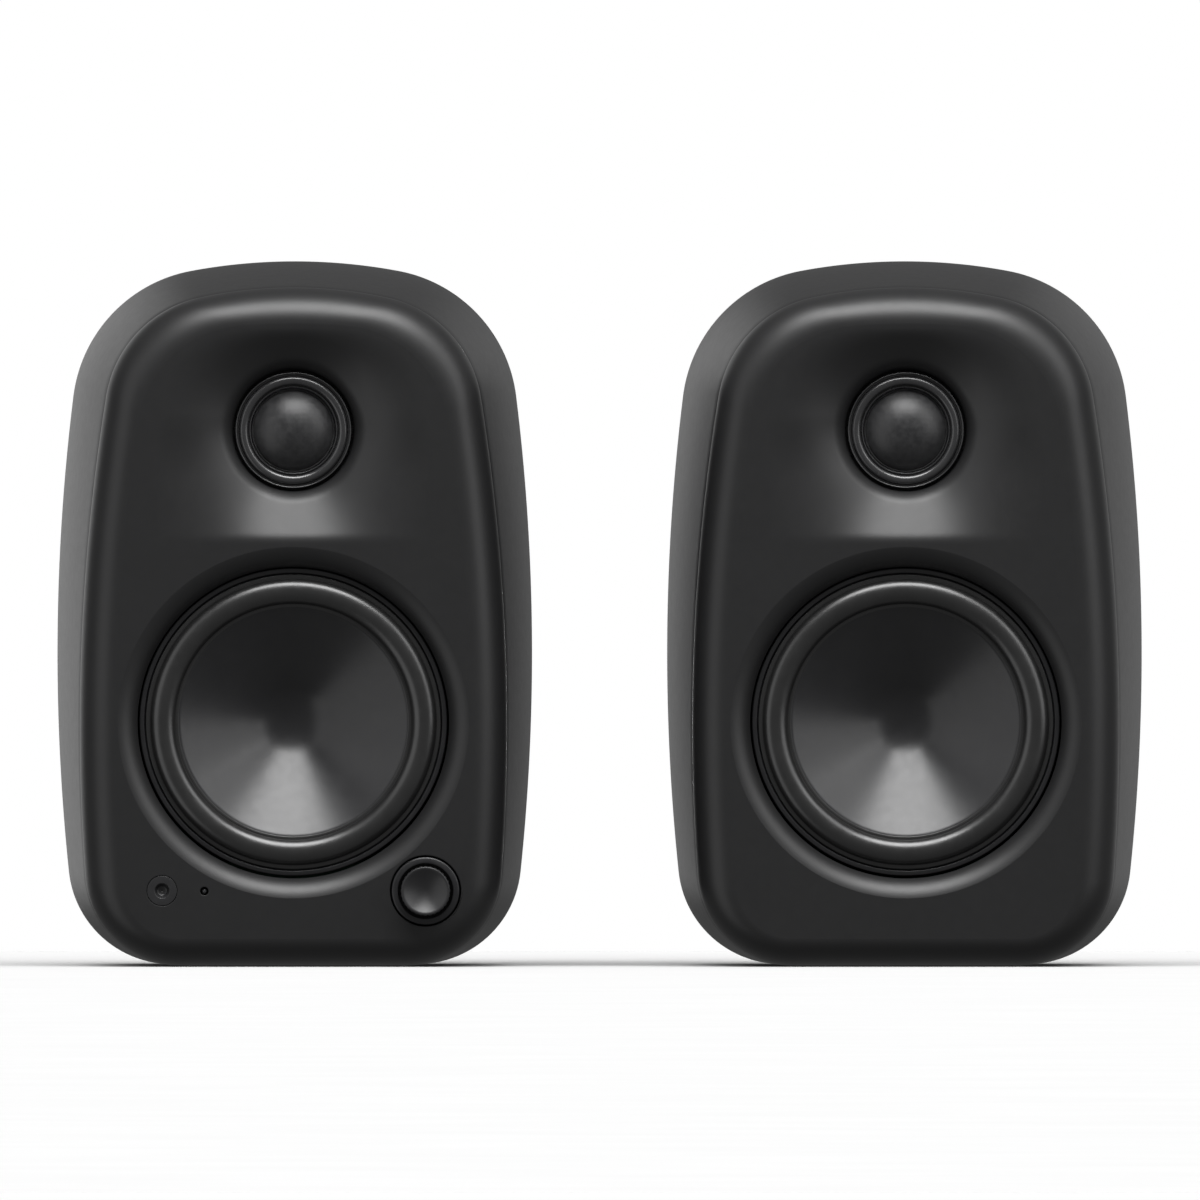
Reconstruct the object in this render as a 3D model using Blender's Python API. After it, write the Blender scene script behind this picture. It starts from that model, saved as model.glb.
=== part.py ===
"""A pair of two-way desktop speakers: an active left one and a passive right one.

Metres, +Z up. The fronts face -Y and both speakers stand on z = 0. Each speaker hangs from an
empty on its own middle line, and each moving piece has its origin on its joint's axis.
"""

import math

import bmesh
import bpy
from mathutils import Matrix, Vector

MM = 0.001
GAP = 0.3 * MM

# Cabinet: where each stage of its depth lies, and how far the two speakers stand apart.
SPEAKER_X = 76.4 * MM
FRONT_Y = -59.0 * MM
CREASE_Y = -49.5 * MM
WIDEST_Y = 8.0 * MM
RIM_Y = 57.0 * MM
WALL = 3.0 * MM
FILLET_TURN = math.radians(82)
PANEL_Y = 53.5 * MM
PANEL_THICKNESS = 2.5 * MM
PANEL_BACK_Y = PANEL_Y + PANEL_THICKNESS
PANEL_INSET = 10.5 * MM
PAD_WIDTH = 54.0 * MM
PAD_LENGTH = 76.0 * MM
PAD_CORNER = 6.0 * MM

# Drivers: heights of their axes, and the planes that their parts are set from.
WOOFER_Z = 61.1 * MM
TWEETER_Z = 133.85 * MM
WOOFER_FLANGE_Y = -54.0 * MM
COVE_RADIUS = 43.35 * MM
COVE_BEND = 6.6 * MM
COVE_START = math.radians(14)
FLANGE_RADIUS = 38.4 * MM
SURROUND_OUTER = 35.8 * MM
SURROUND_INNER = 29.4 * MM
SURROUND_HEIGHT = 2.6 * MM
CONE_APEX_Y = -40.0 * MM
CONE_NOSE_BEND = 24.0 * MM
CONE_SLOPE = math.radians(30)
CONE_THICKNESS = 0.8 * MM
DISH_THROAT = 17.0 * MM
DISH_HALF_WIDTH = 31.0 * MM
DISH_HALF_HEIGHT = 26.2 * MM
TWEETER_RADIUS = 14.4 * MM
PORT_Z = 128.0 * MM
PORT_BORE = 11.5 * MM

# Controls on the front of the left speaker.
KNOB_X = 33.0 * MM
KNOB_Z = 18.95 * MM
KNOB_FACE_Y = -65.0 * MM
BEZEL_RADIUS = 8.6 * MM
JACK_X = -32.7 * MM
JACK_Z = 19.0 * MM
JACK_RADIUS = 3.7 * MM
LED_X = -22.15 * MM
LED_Z = 18.9 * MM
LED_HOLE = 1.05 * MM

# Connectors on the back of the left speaker.
TIP_Y = 65.0 * MM
SOCKET_ROW_Z = 62.0 * MM
POWER_ROW_Z = 31.0 * MM
INLET_X = -22.0 * MM
ROCKER_X = 22.0 * MM
ROCKER_Y = 54.0 * MM
ROCKER_TILT = math.radians(9)
BOARD_Y = 48.0 * MM
BOARD_THICKNESS = 1.6 * MM

# Outlines of the cabinet's cross-sections: half-width, height of the widest point, side radius,
# top, crown radius, shoulder radius, lower corner radius and base.
FLAT = [v * MM for v in (43.6, 61.0, 520.0, 160.5, 150.0, 28.0, 14.0, 7.0)]
CREASE = [v * MM for v in (53.3, 60.0, 520.0, 169.5, 109.5, 30.0, 24.0, 0.3)]
BODY = [v * MM for v in (59.5, 78.2, 523.5, 176.4, 142.0, 36.45, 25.75, 0.3)]

# Facets round a full turn: large visible rings, small visible ones, hidden ones, and pins.
LARGE, MEDIUM, HIDDEN, SMALL = 24, 18, 14, 10


# --- helpers ------------------------------------------------------------------------------------


def clear_scene():
    for obj in list(bpy.data.objects):
        bpy.data.objects.remove(obj, do_unlink=True)


def plastic(name, colour, roughness=0.5, metallic=0.0):
    material = bpy.data.materials.new(name)
    material.use_nodes = True
    shader = material.node_tree.nodes["Principled BSDF"]
    shader.inputs["Base Color"].default_value = (*colour, 1.0)
    shader.inputs["Roughness"].default_value = roughness
    shader.inputs["Metallic"].default_value = metallic
    return material


def add(name, bm, material, parent, at=(0, 0, 0), smooth=True):
    """Turns a bmesh into a named object under its speaker's empty."""
    bmesh.ops.recalc_face_normals(bm, faces=bm.faces)
    mesh = bpy.data.meshes.new(name)
    bm.to_mesh(mesh)
    bm.free()
    if smooth:
        mesh.shade_smooth()
        mesh.set_sharp_from_angle(angle=math.radians(35))
    obj = bpy.data.objects.new(name, mesh)
    bpy.context.scene.collection.objects.link(obj)
    obj.parent = parent
    obj.location = at
    if material:
        mesh.materials.append(material)
    return obj


def empty(name, at):
    obj = bpy.data.objects.new(name, None)
    bpy.context.scene.collection.objects.link(obj)
    obj.location = at
    return obj


def helper(obj):
    """Marks an object as a cutter or an addition, which isn't a piece of its own."""
    obj.hide_render = True
    obj.display_type = "WIRE"
    return obj


def boolean(target, other, operation="DIFFERENCE"):
    modifier = target.modifiers.new(other.name, "BOOLEAN")
    modifier.operation = operation
    modifier.object = other


def arc(centre, radius, start, end, count):
    """Points (a, b) along an arc between two angles, the last one left out."""
    steps = [start + (end - start) * i / count for i in range(count)]
    return [(centre[0] + radius * math.cos(t), centre[1] + radius * math.sin(t)) for t in steps]


def outline(shape, inset=0.0):
    """Cross-section points (x, z) anticlockwise from the middle of the base, moved inwards."""
    width, middle, side, top, crown, shoulder, corner, base = shape
    width, side, crown = width - inset, side - inset, crown - inset
    shoulder, corner = max(shoulder - inset, 2 * MM), max(corner - inset, 2 * MM)
    top, base = top - inset, base + inset
    side_at = Vector((width - side, middle))
    crown_at = Vector((0.0, top - crown))
    across = crown_at - side_at
    reach, rise = side - shoulder, crown - shoulder
    along = (reach**2 - rise**2 + across.length**2) / (2 * across.length)
    off = math.sqrt(reach**2 - along**2)
    unit = across.normalized()
    shoulder_at = side_at + unit * along + Vector((-unit.y, unit.x)) * off
    corner_z = base + corner
    corner_x = side_at.x + math.sqrt((side - corner) ** 2 - (corner_z - middle) ** 2)
    corner_at = Vector((corner_x, corner_z))
    low = math.atan2(corner_z - middle, corner_at.x - side_at.x)
    high = math.atan2(*reversed(shoulder_at - side_at))
    peak = math.atan2(*reversed(shoulder_at - crown_at))
    half = [(corner_at.x / 2, base)]
    half += arc(corner_at, corner, -math.pi / 2, low, 5)
    half += arc(side_at, side, low, high, 4)
    half += arc(shoulder_at, shoulder, high, peak, 6)
    half += arc(crown_at, crown, peak, math.pi / 2, 3)
    mirrored = [(-x, z) for x, z in reversed(half)]
    return [(0.0, base)] + half + [(0.0, top)] + mirrored


def between(first, second, share):
    return [a + (b - a) * share for a, b in zip(first, second)]


def flare(y):
    """How far the cabinet has spread from its crease to its widest section."""
    share = min(max((y - CREASE_Y) / (WIDEST_Y - CREASE_Y), 0.0), 1.0)
    return 1.0 - (1.0 - share) ** 1.6


def loft(sections, ring=False):
    """A skin over sections of equal count: closed into a ring, or with a cap at each end."""
    bm = bmesh.new()
    loops = [[bm.verts.new(point) for point in section] for section in sections]
    pairs = list(zip(loops, loops[1:] + loops[:1] if ring else loops[1:]))
    for first, second in pairs:
        for i in range(len(first)):
            j = (i + 1) % len(first)
            bm.faces.new((first[i], first[j], second[j], second[i]))
    if not ring:
        bm.faces.new(loops[0])
        bm.faces.new(loops[-1])
    bmesh.ops.triangulate(bm, faces=[face for face in bm.faces if len(face.verts) == 4])
    return bm


def turned(profile, segments):
    """A solid of revolution about Y from a closed profile of (radius, y)."""
    bm = bmesh.new()
    verts = [bm.verts.new((radius, y, 0.0)) for radius, y in profile]
    edges = [bm.edges.new((a, b)) for a, b in zip(verts, verts[1:])]
    if profile[0][0] > 0.0 or profile[-1][0] > 0.0:
        edges.append(bm.edges.new((verts[-1], verts[0])))
    bmesh.ops.spin(
        bm, geom=verts + edges, cent=(0, 0, 0), axis=(0, 1, 0), angle=2 * math.pi, steps=segments,
        use_merge=True,
    )
    bmesh.ops.remove_doubles(bm, verts=bm.verts, dist=0.001 * MM)
    return bm


def block(size, centre):
    bm = bmesh.new()
    bmesh.ops.create_cube(bm, size=1.0)
    bmesh.ops.scale(bm, vec=size, verts=bm.verts)
    bmesh.ops.translate(bm, vec=centre, verts=bm.verts)
    return bm


def prism(points, low, high, axis):
    """A straight prism along X or Y from a polygon of (y, z) or (x, z) points."""
    bm = bmesh.new()
    if axis == "X":
        face = bm.faces.new([bm.verts.new((low, a, b)) for a, b in points])
        shift = (high - low, 0, 0)
    else:
        face = bm.faces.new([bm.verts.new((a, low, b)) for a, b in points])
        shift = (0, high - low, 0)
    moved = bmesh.ops.extrude_face_region(bm, geom=[face])["geom"]
    bmesh.ops.translate(bm, vec=shift, verts=[v for v in moved if isinstance(v, bmesh.types.BMVert)])
    return bm


def rounded(width, height, radius, steps=3):
    """A rounded rectangle's corner points about the origin."""
    points = []
    for turn, (sx, sz) in enumerate(((1, 1), (-1, 1), (-1, -1), (1, -1))):
        centre = (sx * (width / 2 - radius), sz * (height / 2 - radius))
        start = turn * math.pi / 2
        points += arc(centre, radius, start, start + math.pi / 2, steps)
        points.append((centre[0] + radius * math.cos(start + math.pi / 2),
                       centre[1] + radius * math.sin(start + math.pi / 2)))
    return points


def mm(*pairs):
    """A profile given in millimetres, in metres."""
    return [(a * MM, b * MM) for a, b in pairs]


# --- cabinet ------------------------------------------------------------------------------------


def section(shape, y, inset=0.0):
    return [(x, y, z) for x, z in outline(shape, inset)]


def dish_section(y, share, throat, grow=0.0):
    """A ring of the tweeter dish at depth y, from its mouth (share 0) to a round throat (1)."""
    points = []
    for i in range(LARGE):
        turn = 2 * math.pi * i / LARGE
        across, up = math.cos(turn), math.sin(turn)
        power = 2.4 if up > 0 else 4.0
        reach = (abs(across / (DISH_HALF_WIDTH + grow)) ** power
                 + abs(up / (DISH_HALF_HEIGHT + grow)) ** power) ** (-1 / power)
        radius = reach + (throat - reach) * share
        points.append((radius * across, y, TWEETER_Z + radius * up))
    return points


def baffle_blank(parent, side, material):
    """The hollow baffle before its bosses and holes: front face, convex edge, rim and inside."""
    sections = [section(FLAT, FRONT_Y)]
    depth = CREASE_Y - GAP - FRONT_Y
    for step in range(1, 4):
        turn = FILLET_TURN * step / 3
        share = math.sin(turn) / math.sin(FILLET_TURN)
        y = FRONT_Y + depth * (1 - math.cos(turn)) / (1 - math.cos(FILLET_TURN))
        sections.append(section(between(FLAT, CREASE, share), y))
    sections.append(section(CREASE, CREASE_Y - GAP, WALL))
    sections.append(section(between(FLAT, CREASE, 0.3), FRONT_Y + WALL, WALL))
    return add(f"{side}_front_baffle", loft(sections), material, parent)


def woofer_cutter(parent, side):
    """The cove that rolls down to the woofer, its flange's seat and the hole behind."""
    front, seat = FRONT_Y - 2 * MM, FLANGE_RADIUS + GAP
    end = math.asin(math.sin(COVE_START) + (COVE_RADIUS - seat) / COVE_BEND)
    profile = [(0, front), (COVE_RADIUS, front)]
    for step in range(5):
        turn = COVE_START + (end - COVE_START) * step / 4
        radius = COVE_RADIUS - COVE_BEND * (math.sin(turn) - math.sin(COVE_START))
        profile.append((radius, FRONT_Y + COVE_BEND * (math.cos(COVE_START) - math.cos(turn))))
    profile.append((seat, WOOFER_FLANGE_Y + 3 * MM))
    profile += mm((35.2, -51.0), (35.2, -40.0), (0, -40.0))
    return helper(add(f"{side}_woofer_cutter", turned(profile, LARGE), None, parent, (0, 0, WOOFER_Z)))


def disc(name, parent, radius, front, back, x, z, segments=HIDDEN):
    profile = [(0, front), (radius, front), (radius, back), (0, back)]
    return helper(add(name, turned(profile, segments), None, parent, (x, 0, z)))


def dish_cutter(parent, side):
    sections = [
        dish_section(FRONT_Y - 1 * MM, -0.05, DISH_THROAT),
        dish_section(FRONT_Y + 0.4 * MM, 0.06, DISH_THROAT),
        dish_section(-54.4 * MM, 0.93, DISH_THROAT),
        dish_section(-53.0 * MM, 1.0, 16.4 * MM),
        dish_section(-50.6 * MM, 1.0, TWEETER_RADIUS + GAP),
        dish_section(-40.0 * MM, 1.0, TWEETER_RADIUS + GAP),
    ]
    return helper(add(f"{side}_dish_cutter", loft(sections), None, parent))


def dish_wall(parent, side):
    """The thickness that backs the dish, behind the baffle's skin."""
    throat, cover = DISH_THROAT + WALL, WALL / 2
    sections = [
        dish_section(FRONT_Y + cover, 0.0, throat, cover),
        dish_section(-55.5 * MM, 0.3, throat, cover),
        dish_section(-51.5 * MM, 1.0, throat),
        dish_section(-46.5 * MM, 1.0, throat),
    ]
    return helper(add(f"{side}_dish_wall", loft(sections), None, parent))


def front_baffle(parent, side, material):
    """The baffle with its bosses, the left one's control holes, the dish and the woofer's cove."""
    baffle = baffle_blank(parent, side, material)
    front, back, radius = FRONT_Y + WALL - 1 * MM, -48.5 * MM, COVE_RADIUS + 2.3 * MM
    boss = disc(f"{side}_woofer_boss", parent, radius, front, back, 0, WOOFER_Z, LARGE)
    boolean(baffle, boss, "UNION")
    boolean(baffle, dish_wall(parent, side), "UNION")
    boolean(baffle, dish_cutter(parent, side))
    if side == "left":
        control_holes(baffle, parent)
    boolean(baffle, woofer_cutter(parent, side))
    return baffle


def control_holes(baffle, parent):
    """The holes for the knob's bezel, the headphone jack and the indicator."""
    front = FRONT_Y - 2 * MM
    floor, back = -52.7 * MM, -48 * MM
    boss = disc("bezel_boss", parent, 11 * MM, FRONT_Y + 2 * MM, -51.0 * MM, KNOB_X, KNOB_Z)
    boolean(baffle, boss, "UNION")
    boolean(baffle, disc("bezel_hole", parent, BEZEL_RADIUS + GAP, front, floor, KNOB_X, KNOB_Z))
    boolean(baffle, disc("neck_hole", parent, 4.6 * MM, front, back, KNOB_X, KNOB_Z, SMALL))
    boolean(baffle, disc("jack_hole", parent, JACK_RADIUS + GAP, front, back, JACK_X, JACK_Z, SMALL))
    boolean(baffle, disc("led_hole", parent, LED_HOLE, front, back, LED_X, LED_Z, SMALL))


def body_section(y, inset=0.0):
    return section(between(CREASE, BODY, flare(y)), y, inset)


def cabinet_shell(parent, side, material):
    """The flared shell, open at the front and, inside a rim and a ledge, at the back."""
    ledge, waist = PANEL_Y - GAP, -26 * MM
    outside = [(CREASE_Y, 0), (waist, 0), (WIDEST_Y, 0), (40 * MM, 0.8 * MM), (51 * MM, 3.8 * MM)]
    lip = PANEL_INSET + WALL
    rear = [(RIM_Y, PANEL_INSET - 1.5 * MM), (RIM_Y, PANEL_INSET), (ledge, PANEL_INSET)]
    rear += [(ledge, lip), (ledge - 2 * MM, lip), (ledge - 6 * MM, WALL + 2 * MM)]
    inside = [(WIDEST_Y, WALL), (waist, WALL), (CREASE_Y, WALL)]
    sections = [body_section(y, inset) for y, inset in outside + rear + inside]
    shell = add(f"{side}_cabinet_shell", loft(sections, ring=True), material, parent)
    pocket = prism(rounded(PAD_WIDTH + 2 * GAP, PAD_LENGTH + 2 * GAP, PAD_CORNER + GAP), 0, 1, "Y")
    bmesh.ops.transform(pocket, matrix=pad_place(-1 * MM, 1.5 * MM), verts=pocket.verts)
    boolean(shell, helper(add(f"{side}_pad_pocket", pocket, None, parent)))
    return shell


def pad_place(low, high):
    """Stands a unit-deep prism along Y up along Z, between two heights."""
    scale = Matrix.Diagonal((1, high - low, 1, 1))
    return Matrix.Translation((0, 0, low)) @ Matrix.Rotation(math.pi / 2, 4, "X") @ scale


def base_pad(parent, side, material):
    pad = prism(rounded(PAD_WIDTH, PAD_LENGTH, PAD_CORNER), 0, 1, "Y")
    bmesh.ops.transform(pad, matrix=pad_place(0, 1.2 * MM), verts=pad.verts)
    return add(f"{side}_base_pad", pad, material, parent)


def rear_panel(parent, side, material, holes):
    outer = section(BODY, PANEL_Y, PANEL_INSET + GAP)
    inner = section(BODY, PANEL_BACK_Y, PANEL_INSET + GAP)
    panel = add(f"{side}_rear_panel", loft([outer, inner]), material, parent)
    hole = disc(f"{side}_port_hole", parent, PORT_BORE + 2.7 * MM, PANEL_Y - 2 * MM, RIM_Y, 0, PORT_Z)
    boolean(panel, hole)
    for name, radius, x, z in holes:
        boolean(panel, disc(f"{name}_hole", parent, radius, PANEL_Y - 2 * MM, RIM_Y, x, z, SMALL))
    return panel


def bass_port(parent, side, material):
    """A tube with a flared mouth, whose flange sits on the outside of the rear panel."""
    flange = PANEL_BACK_Y / MM + 0.3
    profile = mm((13.6, 5), (13.6, flange), (18, flange), (18, flange + 1.2), (17, 58.2), (15.4, 58))
    profile += mm((13.4, 56.4), (12.0, 53.5), (11.5, 49), (11.5, 5))
    return add(f"{side}_bass_port", turned(profile, HIDDEN), material, parent, (0, 0, PORT_Z))


# --- woofer -------------------------------------------------------------------------------------


def woofer_basket(parent, side, material):
    """The frame: trim flange, conical skirt with four windows, spider shelf and back plate."""
    profile = [(FLANGE_RADIUS, WOOFER_FLANGE_Y), (FLANGE_RADIUS, WOOFER_FLANGE_Y + 2.7 * MM)]
    profile += mm((34.4, -51.3), (26.3, -36.0), (26.3, -32.1), (12.0, -32.1), (12.0, -33.7), (20.0, -33.7))
    profile += mm((20.0, -35.0), (22.6, -35.0), (24.6, -36.5), (33.0, -52.3), (33.2, -52.9), (36.95, -52.9))
    profile.append((36.95 * MM, WOOFER_FLANGE_Y))
    basket = add(f"{side}_woofer_basket", turned(profile, LARGE), material, parent, (0, 0, WOOFER_Z))
    windows = bmesh.new()
    for turn in range(4):
        made = bmesh.ops.create_cube(windows, size=1.0)["verts"]
        place = Matrix.Rotation(math.radians(45 + 90 * turn), 4, "Y")
        place = place @ Matrix.Translation((31 * MM, -43.5 * MM, 0))
        place = place @ Matrix.Diagonal((16 * MM, 11 * MM, 26 * MM, 1))
        bmesh.ops.transform(windows, matrix=place, verts=made)
    boolean(basket, helper(add(f"{side}_windows", windows, None, parent, (0, 0, WOOFER_Z))))
    return basket


def woofer_surround(parent, side, material):
    """The rubber half roll between two flat rims, closed underneath."""
    rim = WOOFER_FLANGE_Y + 0.2 * MM
    middle = (SURROUND_OUTER + SURROUND_INNER) / 2
    half = (SURROUND_OUTER - SURROUND_INNER) / 2
    thick = 0.6 * MM
    turns = [math.pi * i / 6 for i in range(7)]
    front = [(middle + half * math.cos(t), rim - SURROUND_HEIGHT * math.sin(t)) for t in turns]
    # The underside of the roll follows every second turn.
    under = [(middle + (half - thick) * math.cos(t), rim - (SURROUND_HEIGHT - thick) * math.sin(t))
             for t in turns[2:-1:2]]
    profile = [(36.6 * MM, rim + thick), (36.6 * MM, rim)] + front + [(28.7 * MM, rim)]
    profile += [(28.7 * MM, rim + thick), (middle - half + thick, rim + thick)] + under[::-1]
    profile += [(middle + half - thick, rim + thick)]
    return add(f"{side}_woofer_surround", turned(profile, LARGE), material, parent, (0, 0, WOOFER_Z))


def woofer_cone(parent, side, material):
    """The bowl of the cone, drawn in one piece with its rounded middle, and its glued rim."""
    turns = [CONE_SLOPE * i / 3 for i in range(4)]
    nose = [(CONE_NOSE_BEND * math.sin(t), CONE_APEX_Y - CONE_NOSE_BEND * (1 - math.cos(t))) for t in turns]
    rim = WOOFER_FLANGE_Y / MM + 1.1
    profile = nose + mm((28.4, rim), (29.6, rim), (29.6, rim + 0.7), (28.7, rim + 0.7))
    profile += [(radius, y + CONE_THICKNESS) for radius, y in reversed(nose)]
    return add(f"{side}_woofer_cone", turned(profile, LARGE), material, parent, (0, 0, WOOFER_Z))


def woofer_voice_coil(parent, side, material):
    profile = mm((9.9, -41.0), (10.3, -41.0), (10.3, -33.5), (10.8, -33.5), (10.8, -26.5), (9.9, -26.5))
    return add(f"{side}_woofer_voice_coil", turned(profile, HIDDEN), material, parent, (0, 0, WOOFER_Z))


def woofer_spider(parent, side, material):
    """The corrugated disc that centres the coil."""
    waves, inner, outer, thick = 2, 10.7 * MM, 20.4 * MM, 0.5 * MM
    steps = 2 * waves + 1
    radii = [inner + (outer - inner) * i / steps for i in range(steps + 1)]
    lift = [-36.2 * MM + 0.7 * MM * math.cos(math.pi * i) for i in range(steps + 1)]
    front = [(r, y) for r, y in zip(radii, lift)] + mm((22.3, -36.2))
    back = mm((22.3, -35.4)) + [(r, y + thick) for r, y in zip(radii[::-1], lift[::-1])]
    return add(f"{side}_woofer_spider", turned(front + back, HIDDEN), material, parent, (0, 0, WOOFER_Z))


def woofer_magnet_parts(parent, side, steel, ferrite):
    at = (0, 0, WOOFER_Z)
    plate = mm((11.5, -31.8), (25, -31.8), (25, -27.8), (11.5, -27.8))
    add(f"{side}_woofer_top_plate", turned(plate, HIDDEN), steel, parent, at)
    magnet = mm((14, -27.5), (27, -27.5), (27, -17.5), (14, -17.5))
    add(f"{side}_woofer_magnet", turned(magnet, HIDDEN), ferrite, parent, at)
    yoke = mm((0, -31.8), (9.2, -31.8), (9.2, -17.2), (25, -17.2), (25, -13.2), (0, -13.2))
    add(f"{side}_woofer_yoke", turned(yoke, HIDDEN), steel, parent, at)


# --- tweeter ------------------------------------------------------------------------------------


def tweeter_faceplate(parent, side, material):
    """The ring round the dome: a half-round trim in front, and a flange behind the baffle."""
    profile = mm((14.4, -51.0), (13.5, -51.0), (13.1, -51.9), (12.5, -52.2), (11.9, -51.9))
    profile += mm((11.5, -50.8), (10.9, -50.8), (10.9, -44.0), (19.5, -44.0))
    profile += mm((19.5, -46.2), (14.4, -46.2))
    return add(f"{side}_tweeter_faceplate", turned(profile, MEDIUM), material, parent, (0, 0, TWEETER_Z))


def tweeter_dome(parent, side, material):
    profile = mm((0, -54.2), (3.9, -53.6), (7.3, -52.1), (9.8, -49.6), (10.5, -49.6))
    profile += mm((10.5, -49.1), (10.0, -49.1), (10.0, -40.5), (9.5, -40.5), (9.5, -49.2))
    profile += mm((6.9, -51.7), (3.7, -53.0), (0, -53.6))
    return add(f"{side}_tweeter_dome", turned(profile, MEDIUM), material, parent, (0, 0, TWEETER_Z))


def tweeter_motor(parent, side, material):
    profile = mm((0, -47), (8.8, -47), (8.8, -38.5), (10.6, -38.5), (10.6, -43.7), (17, -43.7))
    profile += mm((17, -28), (0, -28))
    return add(f"{side}_tweeter_motor", turned(profile, HIDDEN), material, parent, (0, 0, TWEETER_Z))


# --- inside both --------------------------------------------------------------------------------


def crossover_board(parent, side, material):
    """The filter board behind the woofer, with its coil and its capacitor."""
    shape = block((44 * MM, BOARD_THICKNESS, 36 * MM), (0, BOARD_THICKNESS / 2, 34 * MM))
    board = add(f"{side}_crossover_board", shape, material, parent, smooth=False)
    coil = turned(mm((0, 1), (8, 1), (8, 11), (0, 11)), SMALL)
    boolean(board, helper(add(f"{side}_filter_coil", coil, None, parent, (-11 * MM, 0, 36 * MM))), "UNION")
    can = turned(mm((0, 1), (5, 1), (5, 14), (0, 14)), SMALL)
    boolean(board, helper(add(f"{side}_filter_can", can, None, parent, (12 * MM, 0, 34 * MM))), "UNION")
    return board


def lead(name, route, radius, material, parent):
    """A wire along a smooth curve through its route's points, with flat ends."""
    points = []
    ends = [route[0]] + route + [route[-1]]
    for before, start, end, after in zip(ends, ends[1:], ends[2:], ends[3:]):
        for step in range(2):
            t = step / 2
            weights = (-t**3 + 2 * t**2 - t, 3 * t**3 - 5 * t**2 + 2)
            weights += (-3 * t**3 + 4 * t**2 + t, t**3 - t**2)
            corners = zip(weights, (before, start, end, after))
            points.append(sum((Vector(p) * (w * MM / 2) for w, p in corners), Vector()))
    points.append(Vector(route[-1]) * MM)
    curve = bpy.data.curves.new(name, "CURVE")
    curve.dimensions = "3D"
    curve.bevel_depth = radius
    curve.bevel_resolution = 1
    curve.use_fill_caps = True
    spline = curve.splines.new("POLY")
    spline.points.add(len(points) - 1)
    for target, point in zip(spline.points, points):
        target.co = (*point, 1.0)
    curve.materials.append(material)
    obj = bpy.data.objects.new(name, curve)
    bpy.context.scene.collection.objects.link(obj)
    obj.parent = parent
    return obj


def driver_leads(parent, side, material):
    to_woofer = [(16, 2.2, 44), (16, 6, 46), (23, 7, 54), (31, -2, 57), (31, -16, 59), (30.5, -26, 60)]
    to_woofer.append((29.6, -31, 61))
    lead(f"{side}_woofer_lead", to_woofer, 0.9 * MM, material, parent)
    to_tweeter = [(-16, -0.6, 48), (-17, -4, 51), (-25, -9, 62), (-33, -12, 84), (-30, -13, 108)]
    to_tweeter.append((-17, -14, 124))
    to_tweeter += [(-6, -20, 131), (-4, -23.5, 132), (-4, -27.3, 132)]
    lead(f"{side}_tweeter_lead", to_tweeter, 0.9 * MM, material, parent)


def phono_socket(name, parent, material, x, z):
    """A phono socket: barrel outside, shoulder on the panel, body inside."""
    board, shoulder, tip = BOARD_Y / MM, PANEL_BACK_Y / MM + 0.3, TIP_Y / MM
    profile = mm((0, board), (4.3, board), (4.3, shoulder), (5.8, shoulder), (5.8, shoulder + 1.2))
    profile += mm((4.15, shoulder + 1.2), (4.15, tip), (1.7, tip), (1.7, 57), (0, 57))
    return add(name, turned(profile, SMALL), material, parent, (x, 0, z))


# --- left speaker only --------------------------------------------------------------------------


def knob_bezel(parent, material):
    """The cup that the knob turns in, with a gently domed rim."""
    profile = mm((4.6, -53.0), (4.6, -55.0), (6.7, -55.0), (6.7, -59.2), (7.5, -59.1), (8.3, -58.9))
    profile += [(BEZEL_RADIUS, -58.6 * MM), (BEZEL_RADIUS, -53.0 * MM)]
    return add("left_knob_bezel", turned(profile, MEDIUM), material, parent, (KNOB_X, 0, KNOB_Z))


def volume_knob(parent, material):
    """The knob: soft rim, concave face, and a bore for the shaft."""
    face = KNOB_FACE_Y / MM
    profile = mm((0, face + 0.9), (3, face + 0.65), (5.5, face), (5.9, face + 0.15), (6.2, face + 0.7))
    profile += mm((6.2, -56.0), (1.8, -56.0), (1.8, -62.0), (0, -62.0))
    return add("left_volume_knob", turned(profile, MEDIUM), material, parent, (KNOB_X, 0, KNOB_Z))


def encoder(parent, metal, body_material):
    at = (KNOB_X, 0, KNOB_Z)
    shaft = mm((0, -61.7), (1.5, -61.7), (1.5, -46.4), (0, -46.4))
    add("left_encoder_shaft", turned(shaft, SMALL), metal, parent, at)
    rotor = mm((1.8, -52.5), (3.0, -52.5), (3.0, -46.4), (1.8, -46.4))
    add("left_encoder_rotor", turned(rotor, SMALL), metal, parent, at)
    case = block((12 * MM, 6 * MM, 11 * MM), (0, -47.4 * MM, 0))
    body = add("left_encoder_body", case, body_material, parent, at, smooth=False)
    neck = mm((0, -52.9), (4.2, -52.9), (4.2, -49), (0, -49))
    boolean(body, helper(add("encoder_neck", turned(neck, SMALL), None, parent, at)), "UNION")
    bore = mm((0, -54), (3.3, -54), (3.3, -45.8), (0, -45.8))
    boolean(body, helper(add("encoder_bore", turned(bore, SMALL), None, parent, at)))


def headphone_jack(parent, material):
    """The front jack: round face flush with the baffle, bore, and a wider body behind."""
    front, rim = FRONT_Y + 0.1 * MM, JACK_RADIUS
    profile = mm((0, -47), (1.85, -47), (1.85, -58.5), (2.1, -58.9)) + [(rim, front)]
    profile += [(rim, -53 * MM)] + mm((5, -53), (5, -44.7), (0, -44.7))
    return add("left_headphone_jack", turned(profile, HIDDEN), material, parent, (JACK_X, 0, JACK_Z))


def led_light_pipe(parent, material):
    profile = mm((0, -58.3), (0.4, -58.25), (0.75, -57.9), (0.75, -44.7), (0, -44.7))
    return add("left_led_light_pipe", turned(profile, SMALL), material, parent, (LED_X, 0, LED_Z))


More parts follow.
